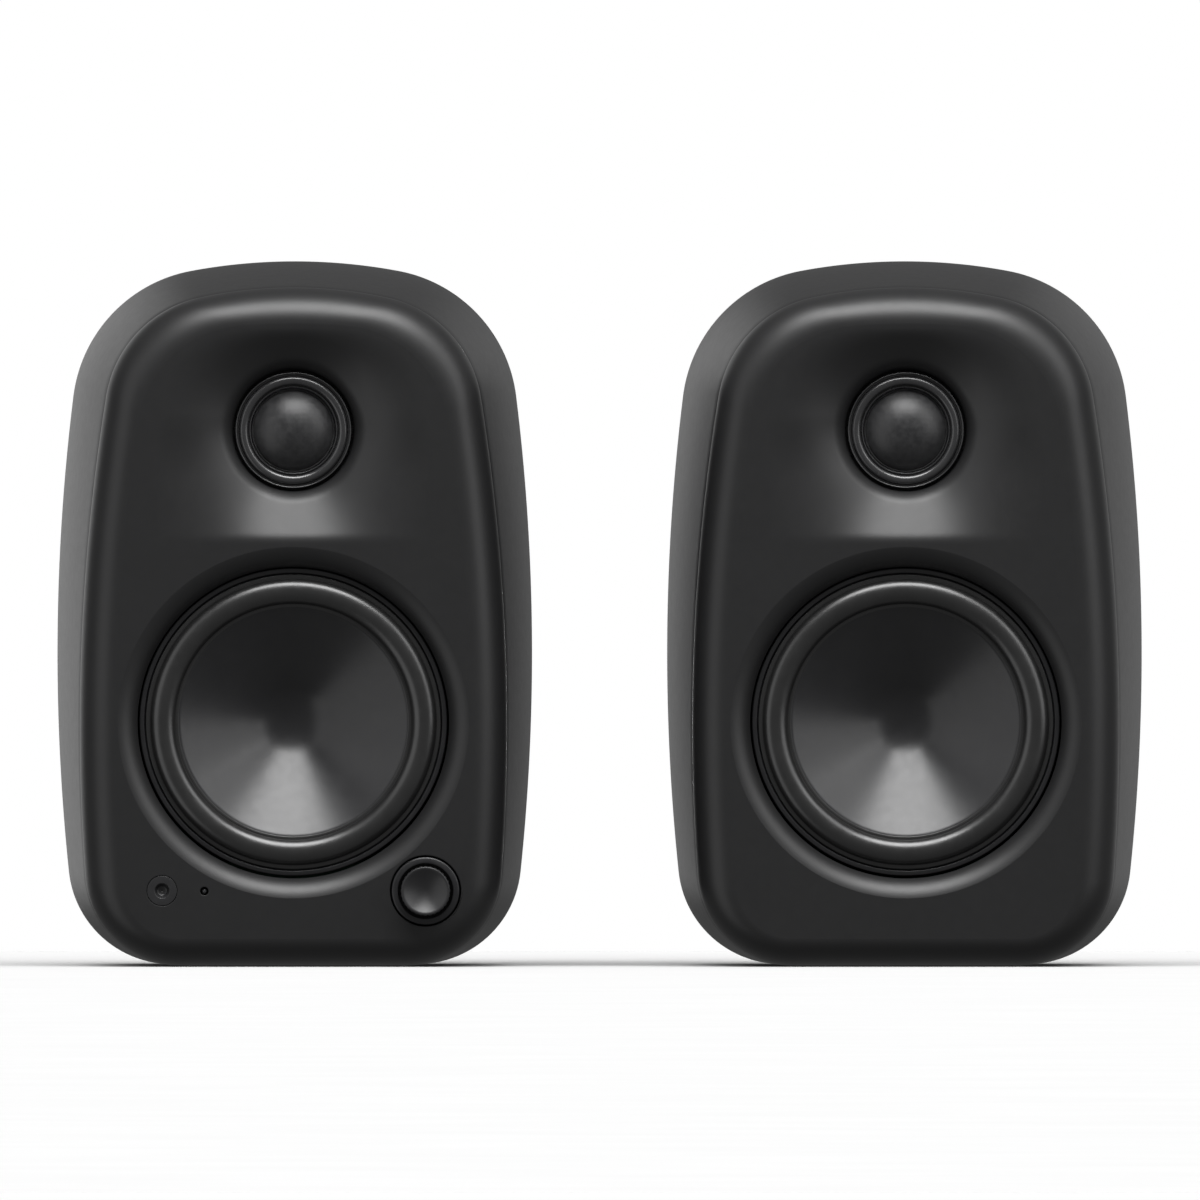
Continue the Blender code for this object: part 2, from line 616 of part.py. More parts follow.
def control_board(parent, material):
    shape = block((80 * MM, BOARD_THICKNESS, 15 * MM), (0, -43.5 * MM, 18.5 * MM))
    return add("left_control_board", shape, material, parent, smooth=False)


def amp_board(parent, material):
    """The amplifier board that carries the sockets, with its two output coils."""
    face, height = BOARD_Y - GAP, 66 * MM
    shape = block((76 * MM, BOARD_THICKNESS, 26 * MM), (0, face - BOARD_THICKNESS / 2, height))
    board = add("left_amp_board", shape, material, parent, smooth=False)
    for index, x in enumerate((-30 * MM, 30 * MM)):
        coil = block((11 * MM, 9 * MM, 11 * MM), (x, face - 5.5 * MM, height))
        boolean(board, helper(add(f"output_coil_{index}", coil, None, parent, smooth=False)), "UNION")
    return board


def heatsink(parent, material):
    """An extruded comb of fins, which stands off the amplifier board."""
    back, root, tip = BOARD_Y - 2.2 * MM, BOARD_Y - 5.2 * MM, BOARD_Y - 17 * MM
    fins, pitch, thick = 6, 7.2 * MM, 1.6 * MM
    half = (pitch * (fins - 1) + thick) / 2
    points = [(half, back), (-half, back)]
    for fin in range(fins):
        left = -half + fin * pitch
        points += [(left, tip), (left + thick, tip)]
        if fin < fins - 1:
            points += [(left + thick, root), (left + pitch, root)]
    low, height = 55 * MM, 22 * MM
    bm = bmesh.new()
    face = bm.faces.new([bm.verts.new((x, y, low)) for x, y in points])
    moved = bmesh.ops.extrude_face_region(bm, geom=[face])["geom"]
    raised = [v for v in moved if isinstance(v, bmesh.types.BMVert)]
    bmesh.ops.translate(bm, vec=(0, 0, height), verts=raised)
    return add("left_heatsink", bm, material, parent, smooth=False)


def psu_board(parent, material):
    """The mains power supply board with its transformer and its reservoir capacitor."""
    shape = block((76 * MM, BOARD_THICKNESS, 32 * MM), (0, 20 * MM, 32 * MM))
    board = add("left_psu_board", shape, material, parent, smooth=False)
    wound = block((24 * MM, 17 * MM, 22 * MM), (-4 * MM, 28.5 * MM, 32 * MM))
    boolean(board, helper(add("transformer", wound, None, parent, smooth=False)), "UNION")
    can = mm((0, 20), (7, 20), (7, 38), (0, 38))
    boolean(board, helper(add("reservoir", turned(can, SMALL), None, parent, (24 * MM, 0, 32 * MM))), "UNION")
    return board


def aux_socket(parent, material):
    board, shoulder = BOARD_Y / MM, PANEL_BACK_Y / MM + 0.3
    profile = mm((0, board), (3.9, board), (3.9, shoulder), (4.8, shoulder), (4.8, 58.4))
    profile += mm((3.2, 59.4), (1.85, 59.4), (1.85, 50), (0, 50))
    return add("left_aux_socket", turned(profile, SMALL), material, parent, (8 * MM, 0, SOCKET_ROW_Z))


def mains_inlet(parent, material):
    """A figure-8 inlet: flange, body, cavity, and two pins standing in it."""
    at = (INLET_X, 0, POWER_ROW_Z)
    flange = PANEL_BACK_Y + GAP
    plate = prism(rounded(21 * MM, 14 * MM, 2 * MM), flange, flange + 1.5 * MM, "Y")
    inlet = add("left_mains_inlet", plate, material, parent, at)
    body = prism(rounded(18.4 * MM, 11.4 * MM, 2 * MM), 43 * MM, flange + 1 * MM, "Y")
    boolean(inlet, helper(add("inlet_body", body, None, parent, at)), "UNION")
    cavity = prism(rounded(15.8 * MM, 8.4 * MM, 4 * MM), 47 * MM, 60 * MM, "Y")
    boolean(inlet, helper(add("inlet_cavity", cavity, None, parent, at)))
    for index, side in enumerate((-1, 1)):
        pin = mm((0, 45), (1.2, 45), (1.2, 56), (0, 56))
        place = (INLET_X + side * 4.3 * MM, 0, POWER_ROW_Z)
        boolean(inlet, helper(add(f"inlet_pin_{index}", turned(pin, SMALL), None, parent, place)), "UNION")
    return inlet


def rocker_switch(parent, frame_material, rocker_material, pin_material):
    """The power switch: housing with a well, the rocker in it, and the pin that it rocks on."""
    at = (ROCKER_X, ROCKER_Y, POWER_ROW_Z)
    flange = PANEL_BACK_Y + GAP - ROCKER_Y
    plate = prism(rounded(15 * MM, 21 * MM, 1.5 * MM), flange, flange + 1.4 * MM, "Y")
    housing = add("left_rocker_housing", plate, frame_material, parent, at)
    body = prism(rounded(12.6 * MM, 18.6 * MM, 1 * MM), -11 * MM, flange + 1 * MM, "Y")
    boolean(housing, helper(add("rocker_body", body, None, parent, at)), "UNION")
    well = block((9.4 * MM, 14 * MM, 15.8 * MM), (0, 2 * MM, 0))
    boolean(housing, helper(add("rocker_well", well, None, parent, at, smooth=False)))
    pivot = turned(mm((0, -5.3), (0.8, -5.3), (0.8, 5.3), (0, 5.3)), SMALL)
    bmesh.ops.rotate(pivot, matrix=Matrix.Rotation(math.pi / 2, 3, "Z"), verts=pivot.verts)
    add("left_rocker_pin", pivot, pin_material, parent, at)
    hole = turned(mm((0, -5.7), (1.1, -5.7), (1.1, 5.7), (0, 5.7)), SMALL)
    bmesh.ops.rotate(hole, matrix=Matrix.Rotation(math.pi / 2, 3, "Z"), verts=hole.verts)
    cutter = helper(add("rocker_pin_hole", hole, None, parent, at))
    boolean(housing, cutter)
    shape = mm((4.0, 6.8), (2.9, 0), (4.0, -6.8), (0, -6.6), (-3, -3), (-3, 3), (0, 6.6))
    rocker = prism(shape, -4.4 * MM, 4.4 * MM, "X")
    bmesh.ops.rotate(rocker, matrix=Matrix.Rotation(-ROCKER_TILT, 3, "X"), verts=rocker.verts)
    rocker = add("left_power_rocker", rocker, rocker_material, parent, at, smooth=False)
    boolean(rocker, cutter)


def inner_leads(parent, material):
    to_amp = [(0, -42.1, 14), (1, -39, 13.5), (8, -32, 10), (32, -10, 9), (44, 14, 13), (44, 32, 30)]
    to_amp += [(40, 38, 54), (37, 41.5, 57), (37, 45.6, 57)]
    lead("left_control_lead", to_amp, 1.2 * MM, material, parent)
    to_supply = [(-22, 42.4, 31), (-22.5, 38.5, 30), (-27, 31, 23), (-30, 25.5, 21), (-30, 21.3, 21)]
    lead("left_mains_lead", to_supply, 1.2 * MM, material, parent)


# --- assembly -----------------------------------------------------------------------------------


def make_materials():
    return {
        "shell": plastic("cabinet plastic", (0.020, 0.020, 0.021), 0.48),
        "trim": plastic("trim plastic", (0.012, 0.012, 0.013), 0.30),
        "rubber": plastic("rubber", (0.015, 0.015, 0.016), 0.55),
        "cone": plastic("cone", (0.022, 0.022, 0.023), 0.40),
        "fabric": plastic("silk", (0.014, 0.014, 0.015), 0.70),
        "steel": plastic("steel", (0.45, 0.46, 0.48), 0.35, 1.0),
        "ferrite": plastic("ferrite", (0.06, 0.06, 0.065), 0.60),
        "copper": plastic("copper", (0.72, 0.36, 0.20), 0.35, 1.0),
        "spider": plastic("resin cloth", (0.50, 0.34, 0.12), 0.85),
        "board": plastic("circuit board", (0.02, 0.10, 0.05), 0.45),
        "alloy": plastic("aluminium", (0.60, 0.61, 0.63), 0.40, 1.0),
        "wire": plastic("wire", (0.35, 0.02, 0.02), 0.50),
        "lens": plastic("light pipe", (0.60, 0.62, 0.64), 0.15),
    }


def make_speaker(side, parent, mat, holes):
    front_baffle(parent, side, mat["shell"])
    cabinet_shell(parent, side, mat["shell"])
    base_pad(parent, side, mat["rubber"])
    rear_panel(parent, side, mat["shell"], holes)
    bass_port(parent, side, mat["trim"])
    woofer_basket(parent, side, mat["trim"])
    woofer_surround(parent, side, mat["rubber"])
    woofer_cone(parent, side, mat["cone"])
    woofer_voice_coil(parent, side, mat["copper"])
    woofer_spider(parent, side, mat["spider"])
    woofer_magnet_parts(parent, side, mat["steel"], mat["ferrite"])
    tweeter_faceplate(parent, side, mat["trim"])
    tweeter_dome(parent, side, mat["fabric"])
    tweeter_motor(parent, side, mat["steel"])
    crossover_board(parent, side, mat["board"])
    driver_leads(parent, side, mat["wire"])
    phono_socket(f"{side}_link_socket", parent, mat["trim"], 26 * MM, SOCKET_ROW_Z)


def make_left(parent, mat):
    row = SOCKET_ROW_Z
    sockets = {"left_phono_socket_a": -28 * MM, "left_phono_socket_b": -10 * MM}
    holes = [(name, 4.6 * MM, x, row) for name, x in sockets.items()]
    holes += [("left_link", 4.6 * MM, 26 * MM, row), ("left_aux", 4.2 * MM, 8 * MM, row)]
    make_speaker("left", parent, mat, holes)
    panel = bpy.data.objects["left_rear_panel"]
    inlet = prism(rounded(19 * MM, 12 * MM, 2.3 * MM), 50 * MM, 60 * MM, "Y")
    boolean(panel, helper(add("inlet_hole", inlet, None, parent, (INLET_X, 0, POWER_ROW_Z))))
    switch = prism(rounded(13.2 * MM, 19.2 * MM, 1.3 * MM), 50 * MM, 60 * MM, "Y")
    boolean(panel, helper(add("rocker_hole", switch, None, parent, (ROCKER_X, 0, POWER_ROW_Z))))
    for name, x in sockets.items():
        phono_socket(name, parent, mat["trim"], x, row)
    aux_socket(parent, mat["trim"])
    mains_inlet(parent, mat["trim"])
    rocker_switch(parent, mat["trim"], mat["shell"], mat["steel"])
    knob_bezel(parent, mat["trim"])
    volume_knob(parent, mat["shell"])
    encoder(parent, mat["alloy"], mat["trim"])
    headphone_jack(parent, mat["trim"])
    led_light_pipe(parent, mat["lens"])
    control_board(parent, mat["board"])
    amp_board(parent, mat["board"])
    heatsink(parent, mat["alloy"])
    psu_board(parent, mat["board"])
    inner_leads(parent, mat["wire"])


def main():
    clear_scene()
    mat = make_materials()
    make_left(empty("left_speaker", (-SPEAKER_X, 0, 0)), mat)
    right_holes = [("right_link", 4.6 * MM, 26 * MM, SOCKET_ROW_Z)]
    make_speaker("right", empty("right_speaker", (SPEAKER_X, 0, 0)), mat, right_holes)


main()
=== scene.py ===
"""The looks of a pair of two-way desktop speakers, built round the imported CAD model.

Lengths here are in millimetres, and piece() turns them into metres. A speaker's own pieces are
laid out from its middle line, with the front towards -Y and the base on z = 0.
"""

from math import asin, atan2, cos, pi, radians, sin, sqrt, tan

import bmesh
import bpy
import numpy as np
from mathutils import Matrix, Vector
from mathutils.geometry import delaunay_2d_cdt


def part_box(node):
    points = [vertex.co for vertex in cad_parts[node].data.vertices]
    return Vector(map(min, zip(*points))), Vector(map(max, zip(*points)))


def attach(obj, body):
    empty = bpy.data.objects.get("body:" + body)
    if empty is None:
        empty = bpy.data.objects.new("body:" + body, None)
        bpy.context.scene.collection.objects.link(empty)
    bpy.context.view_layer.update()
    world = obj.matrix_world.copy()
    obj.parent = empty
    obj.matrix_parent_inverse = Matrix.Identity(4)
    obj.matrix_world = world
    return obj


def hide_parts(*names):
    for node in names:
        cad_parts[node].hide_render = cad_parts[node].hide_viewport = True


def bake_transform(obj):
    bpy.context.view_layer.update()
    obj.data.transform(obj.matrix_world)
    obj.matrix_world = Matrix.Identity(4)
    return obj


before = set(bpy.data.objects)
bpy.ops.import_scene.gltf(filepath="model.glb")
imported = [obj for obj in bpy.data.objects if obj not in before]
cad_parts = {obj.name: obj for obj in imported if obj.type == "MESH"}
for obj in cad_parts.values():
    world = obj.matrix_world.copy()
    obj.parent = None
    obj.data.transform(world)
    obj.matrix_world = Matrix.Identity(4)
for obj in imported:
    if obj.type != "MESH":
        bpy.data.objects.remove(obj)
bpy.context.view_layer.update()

MM = 0.001
SIDES = ("left", "right")


def corners(node):
    low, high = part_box(node)
    return low / MM, high / MM


def middle(node):
    low, high = corners(node)
    return (low + high) / 2


def own_place(node):
    """The middle of one of the left speaker's nodes, measured from that speaker's middle line."""
    at = middle(node)
    return at.x - SPEAKER_X["left"], at.z


# Where the frame puts things.
SPEAKER_X = {side: middle(f"{side}_cabinet_shell").x for side in SIDES}
SHELL_LOW, SHELL_HIGH = corners("left_cabinet_shell")
FRONT_Y = corners("left_front_baffle")[0].y
CREASE_Y = SHELL_LOW.y
RIM_Y = SHELL_HIGH.y
PANEL_Y, PANEL_BACK_Y = (corner.y for corner in corners("left_rear_panel"))
WOOFER_Z = middle("left_woofer_cone").z
TWEETER_Z = middle("left_tweeter_dome").z
PORT_Z = middle("left_bass_port").z
FLANGE_Y = corners("left_woofer_basket")[0].y
KNOB_FACE_Y = corners("left_volume_knob")[0].y
TIP_Y = corners("left_phono_socket_a")[1].y
KNOB_AT = own_place("left_volume_knob")
JACK_AT = own_place("left_headphone_jack")
LIGHT_AT = own_place("left_led_light_pipe")

# Cabinet: the widest section's depth, the gap at a joint line, and the wall.
WIDEST_Y = 8.0
GAP = 0.3
WALL = 3.0
FILLET_TURN = radians(82)
PANEL_INSET = 10.5

# The cabinet's rear edge: where it starts, how far it turns, and how far the cabinet has drawn in
# before it and after it.
REAR_ROUND_Y = 44.0
REAR_TURN = radians(80)
REAR_DRAW = 0.8
REAR_CUT = 9.0

# Half-width, height of the widest point, side radius, top, crown radius, shoulder radius,
# lower corner radius and base of the cabinet's cross-sections.
FLAT = (44.1, 61.0, 520.0, 160.5, 150.0, 28.0, 14.0, 7.0)
CREASE = (53.3, 60.0, 520.0, 169.5, 109.5, 30.0, 24.0, 0.3)
BODY = ((SHELL_HIGH.x - SHELL_LOW.x) / 2, 78.2, 523.5, SHELL_HIGH.z, 142.0, 36.45, 25.75, 0.3)

# Woofer.
COVE_RADIUS = 43.75
COVE_Z = WOOFER_Z - 0.2
COVE_SEAT = 38.85
COVE_BEND = 7.2
COVE_START = radians(14)
SURROUND_OUTER = 35.8
SURROUND_INNER = 29.4
SURROUND_HEIGHT = 2.6
CONE_RIM = 28.6
CONE_APEX_Y = -40.0
CONE_SLOPE = radians(30)
CONE_NOSE = 18.0
CONE_THICKNESS = 0.7

# Tweeter dish: its mouth, its depth where the throat starts, how much of its slope the edge
# rounds off, the ramp below it with the heights between which it takes over, and the throat.
DISH_HALF_WIDTH = 33.0
DISH_UP = 25.95
DISH_DOWN = 28.1
DISH_DEPTH = 5.0
EDGE_ABOVE, EDGE_BELOW, EDGE_BESIDE = 0.30, 0.25, 1.0
RAMP_EDGE = 2.2
RAMP_FROM, RAMP_TO = 4.0, -12.0
RAMP_SLOPE = 0.49
RAMP_HALF = 16.3
RAMP_END = 34.0
THROAT_LIP = 18.4
THROAT_START = 17.0
THROAT_RADIUS = 15.0
THROAT_DEPTH = 9.4

# The glossy half-round trim round the dome.
BEAD_RADIUS, BEAD_Y = 12.43, -50.95
BEAD_HALF_WIDTH, BEAD_HEIGHT = 1.08, 0.85

DOME_RISE, DOME_EDGE = 4.5, 9.9

# Controls on the left front: the knob, and the holes for its bezel, the jack and the light pipe.
KNOB_RIBS = 32
RIB_DEPTH = 0.24
KNOB_RADIUS = 6.2
HOLLOW_RADIUS, HOLLOW_DEPTH = 5.55, 2.0
BEZEL_HOLE = 8.85
JACK_HOLE = 3.85
LIGHT_HOLE = 1.05
HOLE_DEPTH = 2.2

# Holes in the rear panels; the square ones have a width, a height and a corner radius.
PORT_HOLE = 14.2
SOCKET_HOLE = 4.6
AUX_HOLE = 4.2
INLET_HOLE = (19.0, 12.0, 2.3)
ROCKER_HOLE = (13.2, 19.2, 1.3)

# Facets round a full turn.
FINE, ROUND, SMALL = 192, 128, 64


# --- meshes -------------------------------------------------------------------------------------


def placed_object(name, shape, at):
    """An object from (points, faces) in millimetres, moved to a place, with its joins merged."""
    points, faces = shape
    mesh = bpy.data.meshes.new(name)
    mesh.from_pydata((np.array(points, float) + np.array(at)) * MM, [], faces)
    bm = bmesh.new()
    bm.from_mesh(mesh)
    bmesh.ops.remove_doubles(bm, verts=bm.verts, dist=0.002 * MM)
    bmesh.ops.recalc_face_normals(bm, faces=bm.faces)
    bm.to_mesh(mesh)
    bm.free()
    obj = bpy.data.objects.new(name, mesh)
    bpy.context.scene.collection.objects.link(obj)
    return obj


def smoothed(mesh, sharp):
    """Smooth shading, except at edges of more than so many degrees."""
    mesh.shade_smooth()
    mesh.set_sharp_from_angle(angle=radians(sharp))


def piece(name, shape, material, body, stands_for=(), at=(0, 0, 0), sharp=40):
    """Makes a piece of the model, riding on a body if one is given."""
    obj = placed_object(name, shape, at)
    smoothed(obj.data, sharp)
    obj.data.materials.append(material)
    if body:
        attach(obj, body)
    if stands_for:
        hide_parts(*stands_for)
    return obj


def together(*shapes):
    """Several (points, faces) shapes as one."""
    points, faces = [], []
    for some_points, some_faces in shapes:
        first = len(points)
        points += [tuple(point) for point in some_points]
        faces += [[first + i for i in face] for face in some_faces]
    return points, faces


def moved(shape, x=0.0, y=0.0, z=0.0):
    points, faces = shape
    return [(p[0] + x, p[1] + y, p[2] + z) for p in points], faces


def softened(outline, steps=4):
    """A closed outline of corners (a, b, rounding), each rounded off as far as it asks."""
    corners_in = [(*corner, 0.0)[:3] for corner in outline]
    points = []
    ring = zip(corners_in[-1:] + corners_in[:-1], corners_in, corners_in[1:] + corners_in[:1])
    for before, corner, after in ring:
        start, mid, end = (Vector(p[:2]) for p in (before, corner, after))
        cut = min(corner[2], 0.45 * (start - mid).length, 0.45 * (end - mid).length)
        if cut <= 0:
            points.append(tuple(mid))
            continue
        start = mid + (start - mid).normalized() * cut
        end = mid + (end - mid).normalized() * cut
        for step in range(steps + 1):
            t = step / steps
            points.append(tuple(start * (1 - t) ** 2 + mid * 2 * t * (1 - t) + end * t**2))
    return points


def turned(outline, segments, ripple=None, steps=4):
    """A closed outline of (radius, y, rounding) turned about Y. A ripple shifts each radius."""
    points, loops, faces = [], [], []
    for radius, y in softened(outline, steps):
        count = segments if radius > 1e-6 else 1
        loops.append(range(len(points), len(points) + count))
        for i in range(count):
            turn = 2 * pi * i / segments
            reach = radius + (ripple(turn, radius, y) if ripple else 0.0)
            points.append((reach * cos(turn), y, reach * sin(turn)))
    for first, second in zip(loops, loops[1:] + loops[:1]):
        if len(first) == len(second) == 1:
            continue
        for i in range(segments):
            j = (i + 1) % segments
            face = (first[i % len(first)], first[j % len(first)])
            face += (second[j % len(second)], second[i % len(second)])
            faces.append(list(dict.fromkeys(face)))
    return points, faces


def loft(sections, ring=False):
    """A skin over sections of equal count, closed into a ring or capped at both ends."""
    count = len(sections[0])
    points = [point for section in sections for point in section]
    order = list(range(len(sections)))
    pairs = zip(order, order[1:] + order[:1]) if ring else zip(order, order[1:])
    faces = []
    for first, second in pairs:
        for i in range(count):
            j = (i + 1) % count
            low, high = first * count, second * count
            faces.append([low + i, low + j, high + j, high + i])
    if not ring:
        faces.append(list(range(count)))
        faces.append(list(range(len(points) - count, len(points))))
    return points, faces


def circle(radius, count, x=0.0, z=0.0):
    turns = [2 * pi * i / count for i in range(count)]
    return [(x + radius * cos(turn), z + radius * sin(turn)) for turn in turns]


def rounded(width, height, radius, x=0.0, z=0.0, steps=8):
    """A rounded rectangle of (x, z) about a centre."""
    points = []
    for quarter, (sx, sz) in enumerate(((1, 1), (-1, 1), (-1, -1), (1, -1))):
        for step in range(steps + 1):
            turn = (quarter + step / steps) * pi / 2
            points.append((x + sx * (width / 2 - radius) + radius * cos(turn),
                           z + sz * (height / 2 - radius) + radius * sin(turn)))
    return points


def inside(points, loop):
    """For each (x, z) point, whether it lies inside a closed loop."""
    points, loop = np.array(points, float), np.array(loop, float)
    found = np.zeros(len(points), bool)
    for (x1, z1), (x2, z2) in zip(loop, np.roll(loop, -1, axis=0)):
        if z1 == z2:
            continue
        crosses = (points[:, 1] > min(z1, z2)) & (points[:, 1] <= max(z1, z2))
        found ^= crosses & (points[:, 0] < x1 + (points[:, 1] - z1) * (x2 - x1) / (z2 - z1))
    return found


def sheet(outer, holes=(), extra=()):
    """Triangles between a convex outline and its holes, as ((x, z) points, faces)."""
    points, edges = [], []
    for loop in (outer, *holes):
        first = len(points)
        points += [Vector(point) for point in loop]
        edges += [(first + i, first + (i + 1) % len(loop)) for i in range(len(loop))]
    points += [Vector(point) for point in extra]
    result = delaunay_2d_cdt(points, edges, [], 0, 1e-6)
    made, faces = [tuple(point) for point in result[0]], result[2]
    middles = [np.mean([made[i] for i in face], axis=0) for face in faces]
    kept = np.ones(len(faces), bool)
    for hole in holes:
        kept &= ~inside(middles, hole)
    return made, [face for face, keep in zip(faces, kept) if keep]


def skin(sections):
    """An open skin over sections, without its end caps."""
    points, faces = loft(sections)
    return points, faces[:-2]


def even_normals(obj):
    """Shades flat faces flat, whatever triangles they are made of."""
    modifier = obj.modifiers.new("Even normals", "WEIGHTED_NORMAL")
    modifier.keep_sharp = True


# --- materials ----------------------------------------------------------------------------------


def new_material(name, roughness, metallic=0.0, specular=0.5):
    material = bpy.data.materials.new(name)
    material.use_nodes = True
    shader = material.node_tree.nodes["Principled BSDF"]
    shader.inputs["Roughness"].default_value = roughness
    shader.inputs["Metallic"].default_value = metallic
    shader.inputs["Specular IOR Level"].default_value = specular
    return material, material.node_tree, shader


def node(tree, kind, **values):
    """A node with its settings and its inputs' values given by name."""
    made = tree.nodes.new(kind)
    for key, value in values.items():
        if key in made.inputs:
            made.inputs[key].default_value = value
        else:
            setattr(made, key, value)
    return made


def noise(tree, size, detail=3.0, roughness=0.6):
    """Object-space noise whose features are about size millimetres across."""
    where = tree.nodes.get("Texture Coordinate") or tree.nodes.new("ShaderNodeTexCoord")
    made = node(tree, "ShaderNodeTexNoise", Scale=1 / (size * MM), Detail=detail, Roughness=roughness)
    tree.links.new(where.outputs["Object"], made.inputs["Vector"])
    return made.outputs["Fac"]


def spread(tree, value, low, high):
    """A value from 0 to 1, spread over a range."""
    limits = {"From Min": 0.3, "From Max": 0.7, "To Min": low, "To Max": high}
    made = node(tree, "ShaderNodeMapRange", **limits)
    tree.links.new(value, made.inputs["Value"])
    return made.outputs["Result"]


def tint(tree, value, dark, light):
    """A colour between two, by a value."""
    made = tree.nodes.new("ShaderNodeValToRGB")
    made.color_ramp.elements[0].position = 0.35
    made.color_ramp.elements[0].color = (*dark, 1.0)
    made.color_ramp.elements[1].position = 0.65
    made.color_ramp.elements[1].color = (*light, 1.0)
    tree.links.new(value, made.inputs["Fac"])
    return made.outputs["Color"]


def relief(tree, shader, height, depth, normal=None):
    """Raises a height field by depth millimetres, on top of an earlier relief if there is one."""
    made = node(tree, "ShaderNodeBump", Strength=1.0, Distance=depth * MM)
    tree.links.new(height, made.inputs["Height"])
    if normal:
        tree.links.new(normal, made.inputs["Normal"])
    tree.links.new(made.outputs["Normal"], shader.inputs["Normal"])
    return made.outputs["Normal"]


def grained(name, dark, light, rough, grain, depth, metallic=0.0, specular=0.5):
    """A moulded or painted surface: colour and gloss that wander a little over a fine grain."""
    material, tree, shader = new_material(name, rough[0], metallic, specular)
    cloud = noise(tree, 9.0, 4.0)
    tree.links.new(tint(tree, cloud, dark, light), shader.inputs["Base Color"])
    fine = noise(tree, grain)
    tree.links.new(spread(tree, noise(tree, 2.2), *rough), shader.inputs["Roughness"])
    relief(tree, shader, fine, depth)
    return material


def woven(name, dark, light, rough, pitch, depth):
    """Cloth: crossed threads in relief, mottled by the coating that stiffens it."""
    material, tree, shader = new_material(name, rough[0])
    shader.inputs["Sheen Weight"].default_value = 0.08
    shader.inputs["Sheen Roughness"].default_value = 0.5
    coating = noise(tree, 1.6, 5.0)
    tree.links.new(tint(tree, coating, dark, light), shader.inputs["Base Color"])
    tree.links.new(spread(tree, coating, *rough), shader.inputs["Roughness"])
    where = tree.nodes["Texture Coordinate"]
    heights = []
    for direction in ("X", "Z"):
        wave = node(tree, "ShaderNodeTexWave", Scale=1 / (pitch * MM * pi), bands_direction=direction,
                    Distortion=0.6, Detail=1.0)
        tree.links.new(where.outputs["Object"], wave.inputs["Vector"])
        heights.append(wave.outputs["Fac"])
    crossed = node(tree, "ShaderNodeMath", operation="MAXIMUM")
    tree.links.new(heights[0], crossed.inputs[0])
    tree.links.new(heights[1], crossed.inputs[1])
    threads = relief(tree, shader, crossed.outputs["Value"], depth)
    relief(tree, shader, coating, depth * 1.5, threads)
    return material


def make_materials():
    black = (0.0097, 0.0097, 0.0101)
    return {
        "cabinet": grained("cabinet plastic", black, (0.0105, 0.0105, 0.0109), (0.41, 0.44), 0.30, 0.006),
        "panel": grained("rear panel plastic", (0.010, 0.010, 0.011), (0.013, 0.013, 0.014), (0.50, 0.60),
                         0.55, 0.05),
        "trim": grained("trim plastic", (0.009, 0.009, 0.010), (0.012, 0.012, 0.013), (0.30, 0.38),
                        0.25, 0.004),
        "gloss": grained("glossy trim plastic", (0.020, 0.020, 0.021), (0.024, 0.024, 0.025), (0.22, 0.28),
                         0.40, 0.002, specular=0.8),
        "knob": grained("knob plastic", (0.014, 0.014, 0.015), (0.018, 0.018, 0.019), (0.34, 0.42),
                        0.25, 0.006),
        "rubber": grained("surround rubber", (0.010, 0.010, 0.010), (0.013, 0.013, 0.013), (0.28, 0.34),
                          0.35, 0.006, specular=0.8),
        "pad": grained("pad rubber", (0.010, 0.010, 0.010), (0.016, 0.016, 0.016), (0.70, 0.82), 0.8, 0.06),
        "cone": grained("cone sheet", (0.013, 0.013, 0.014), (0.016, 0.016, 0.017), (0.28, 0.33),
                        0.45, 0.008),
        "silk": woven("dome silk", (0.012, 0.012, 0.013), (0.022, 0.022, 0.023), (0.34, 0.46), 0.32, 0.010),
        "spider": woven("spider cloth", (0.42, 0.28, 0.10), (0.52, 0.36, 0.14), (0.80, 0.90), 0.9, 0.12),
        "copper": grained("coil copper", (0.66, 0.30, 0.15), (0.78, 0.40, 0.22), (0.28, 0.40),
                          0.4, 0.03, 1.0),
        "steel": grained("motor steel", (0.40, 0.41, 0.43), (0.50, 0.51, 0.53), (0.28, 0.42),
                         1.2, 0.01, 1.0),
        "ferrite": grained("ferrite", (0.035, 0.035, 0.038), (0.055, 0.055, 0.058), (0.55, 0.70),
                           0.7, 0.05),
        "board": grained("circuit board", (0.010, 0.070, 0.032), (0.018, 0.110, 0.050), (0.32, 0.48),
                         1.5, 0.03),
        "alloy": grained("aluminium", (0.54, 0.55, 0.57), (0.64, 0.65, 0.67), (0.30, 0.42), 0.6, 0.01, 1.0),
        "socket": grained("socket metal", (0.68, 0.68, 0.67), (0.76, 0.76, 0.75), (0.34, 0.42),
                          0.8, 0.004, 1.0),
        "wire": grained("wire sleeve", (0.28, 0.012, 0.012), (0.36, 0.020, 0.020), (0.42, 0.52), 0.7, 0.01),
        "lens": grained("light pipe", (0.030, 0.031, 0.033), (0.040, 0.041, 0.043), (0.12, 0.20),
                        0.5, 0.002),
        "red": grained("red socket plastic", (0.42, 0.010, 0.010), (0.50, 0.016, 0.016), (0.34, 0.42),
                       0.4, 0.004),
        "white": grained("white socket plastic", (0.62, 0.62, 0.60), (0.70, 0.70, 0.68), (0.34, 0.42),
                         0.4, 0.004),
    }


MAT = make_materials()


# --- cabinet ------------------------------------------------------------------------------------


def arc(centre, radius, start, end, count):
    """Points along an arc between two angles, the last one left out."""
    steps = [start + (end - start) * i / count for i in range(count)]
    return [(centre[0] + radius * cos(t), centre[1] + radius * sin(t)) for t in steps]


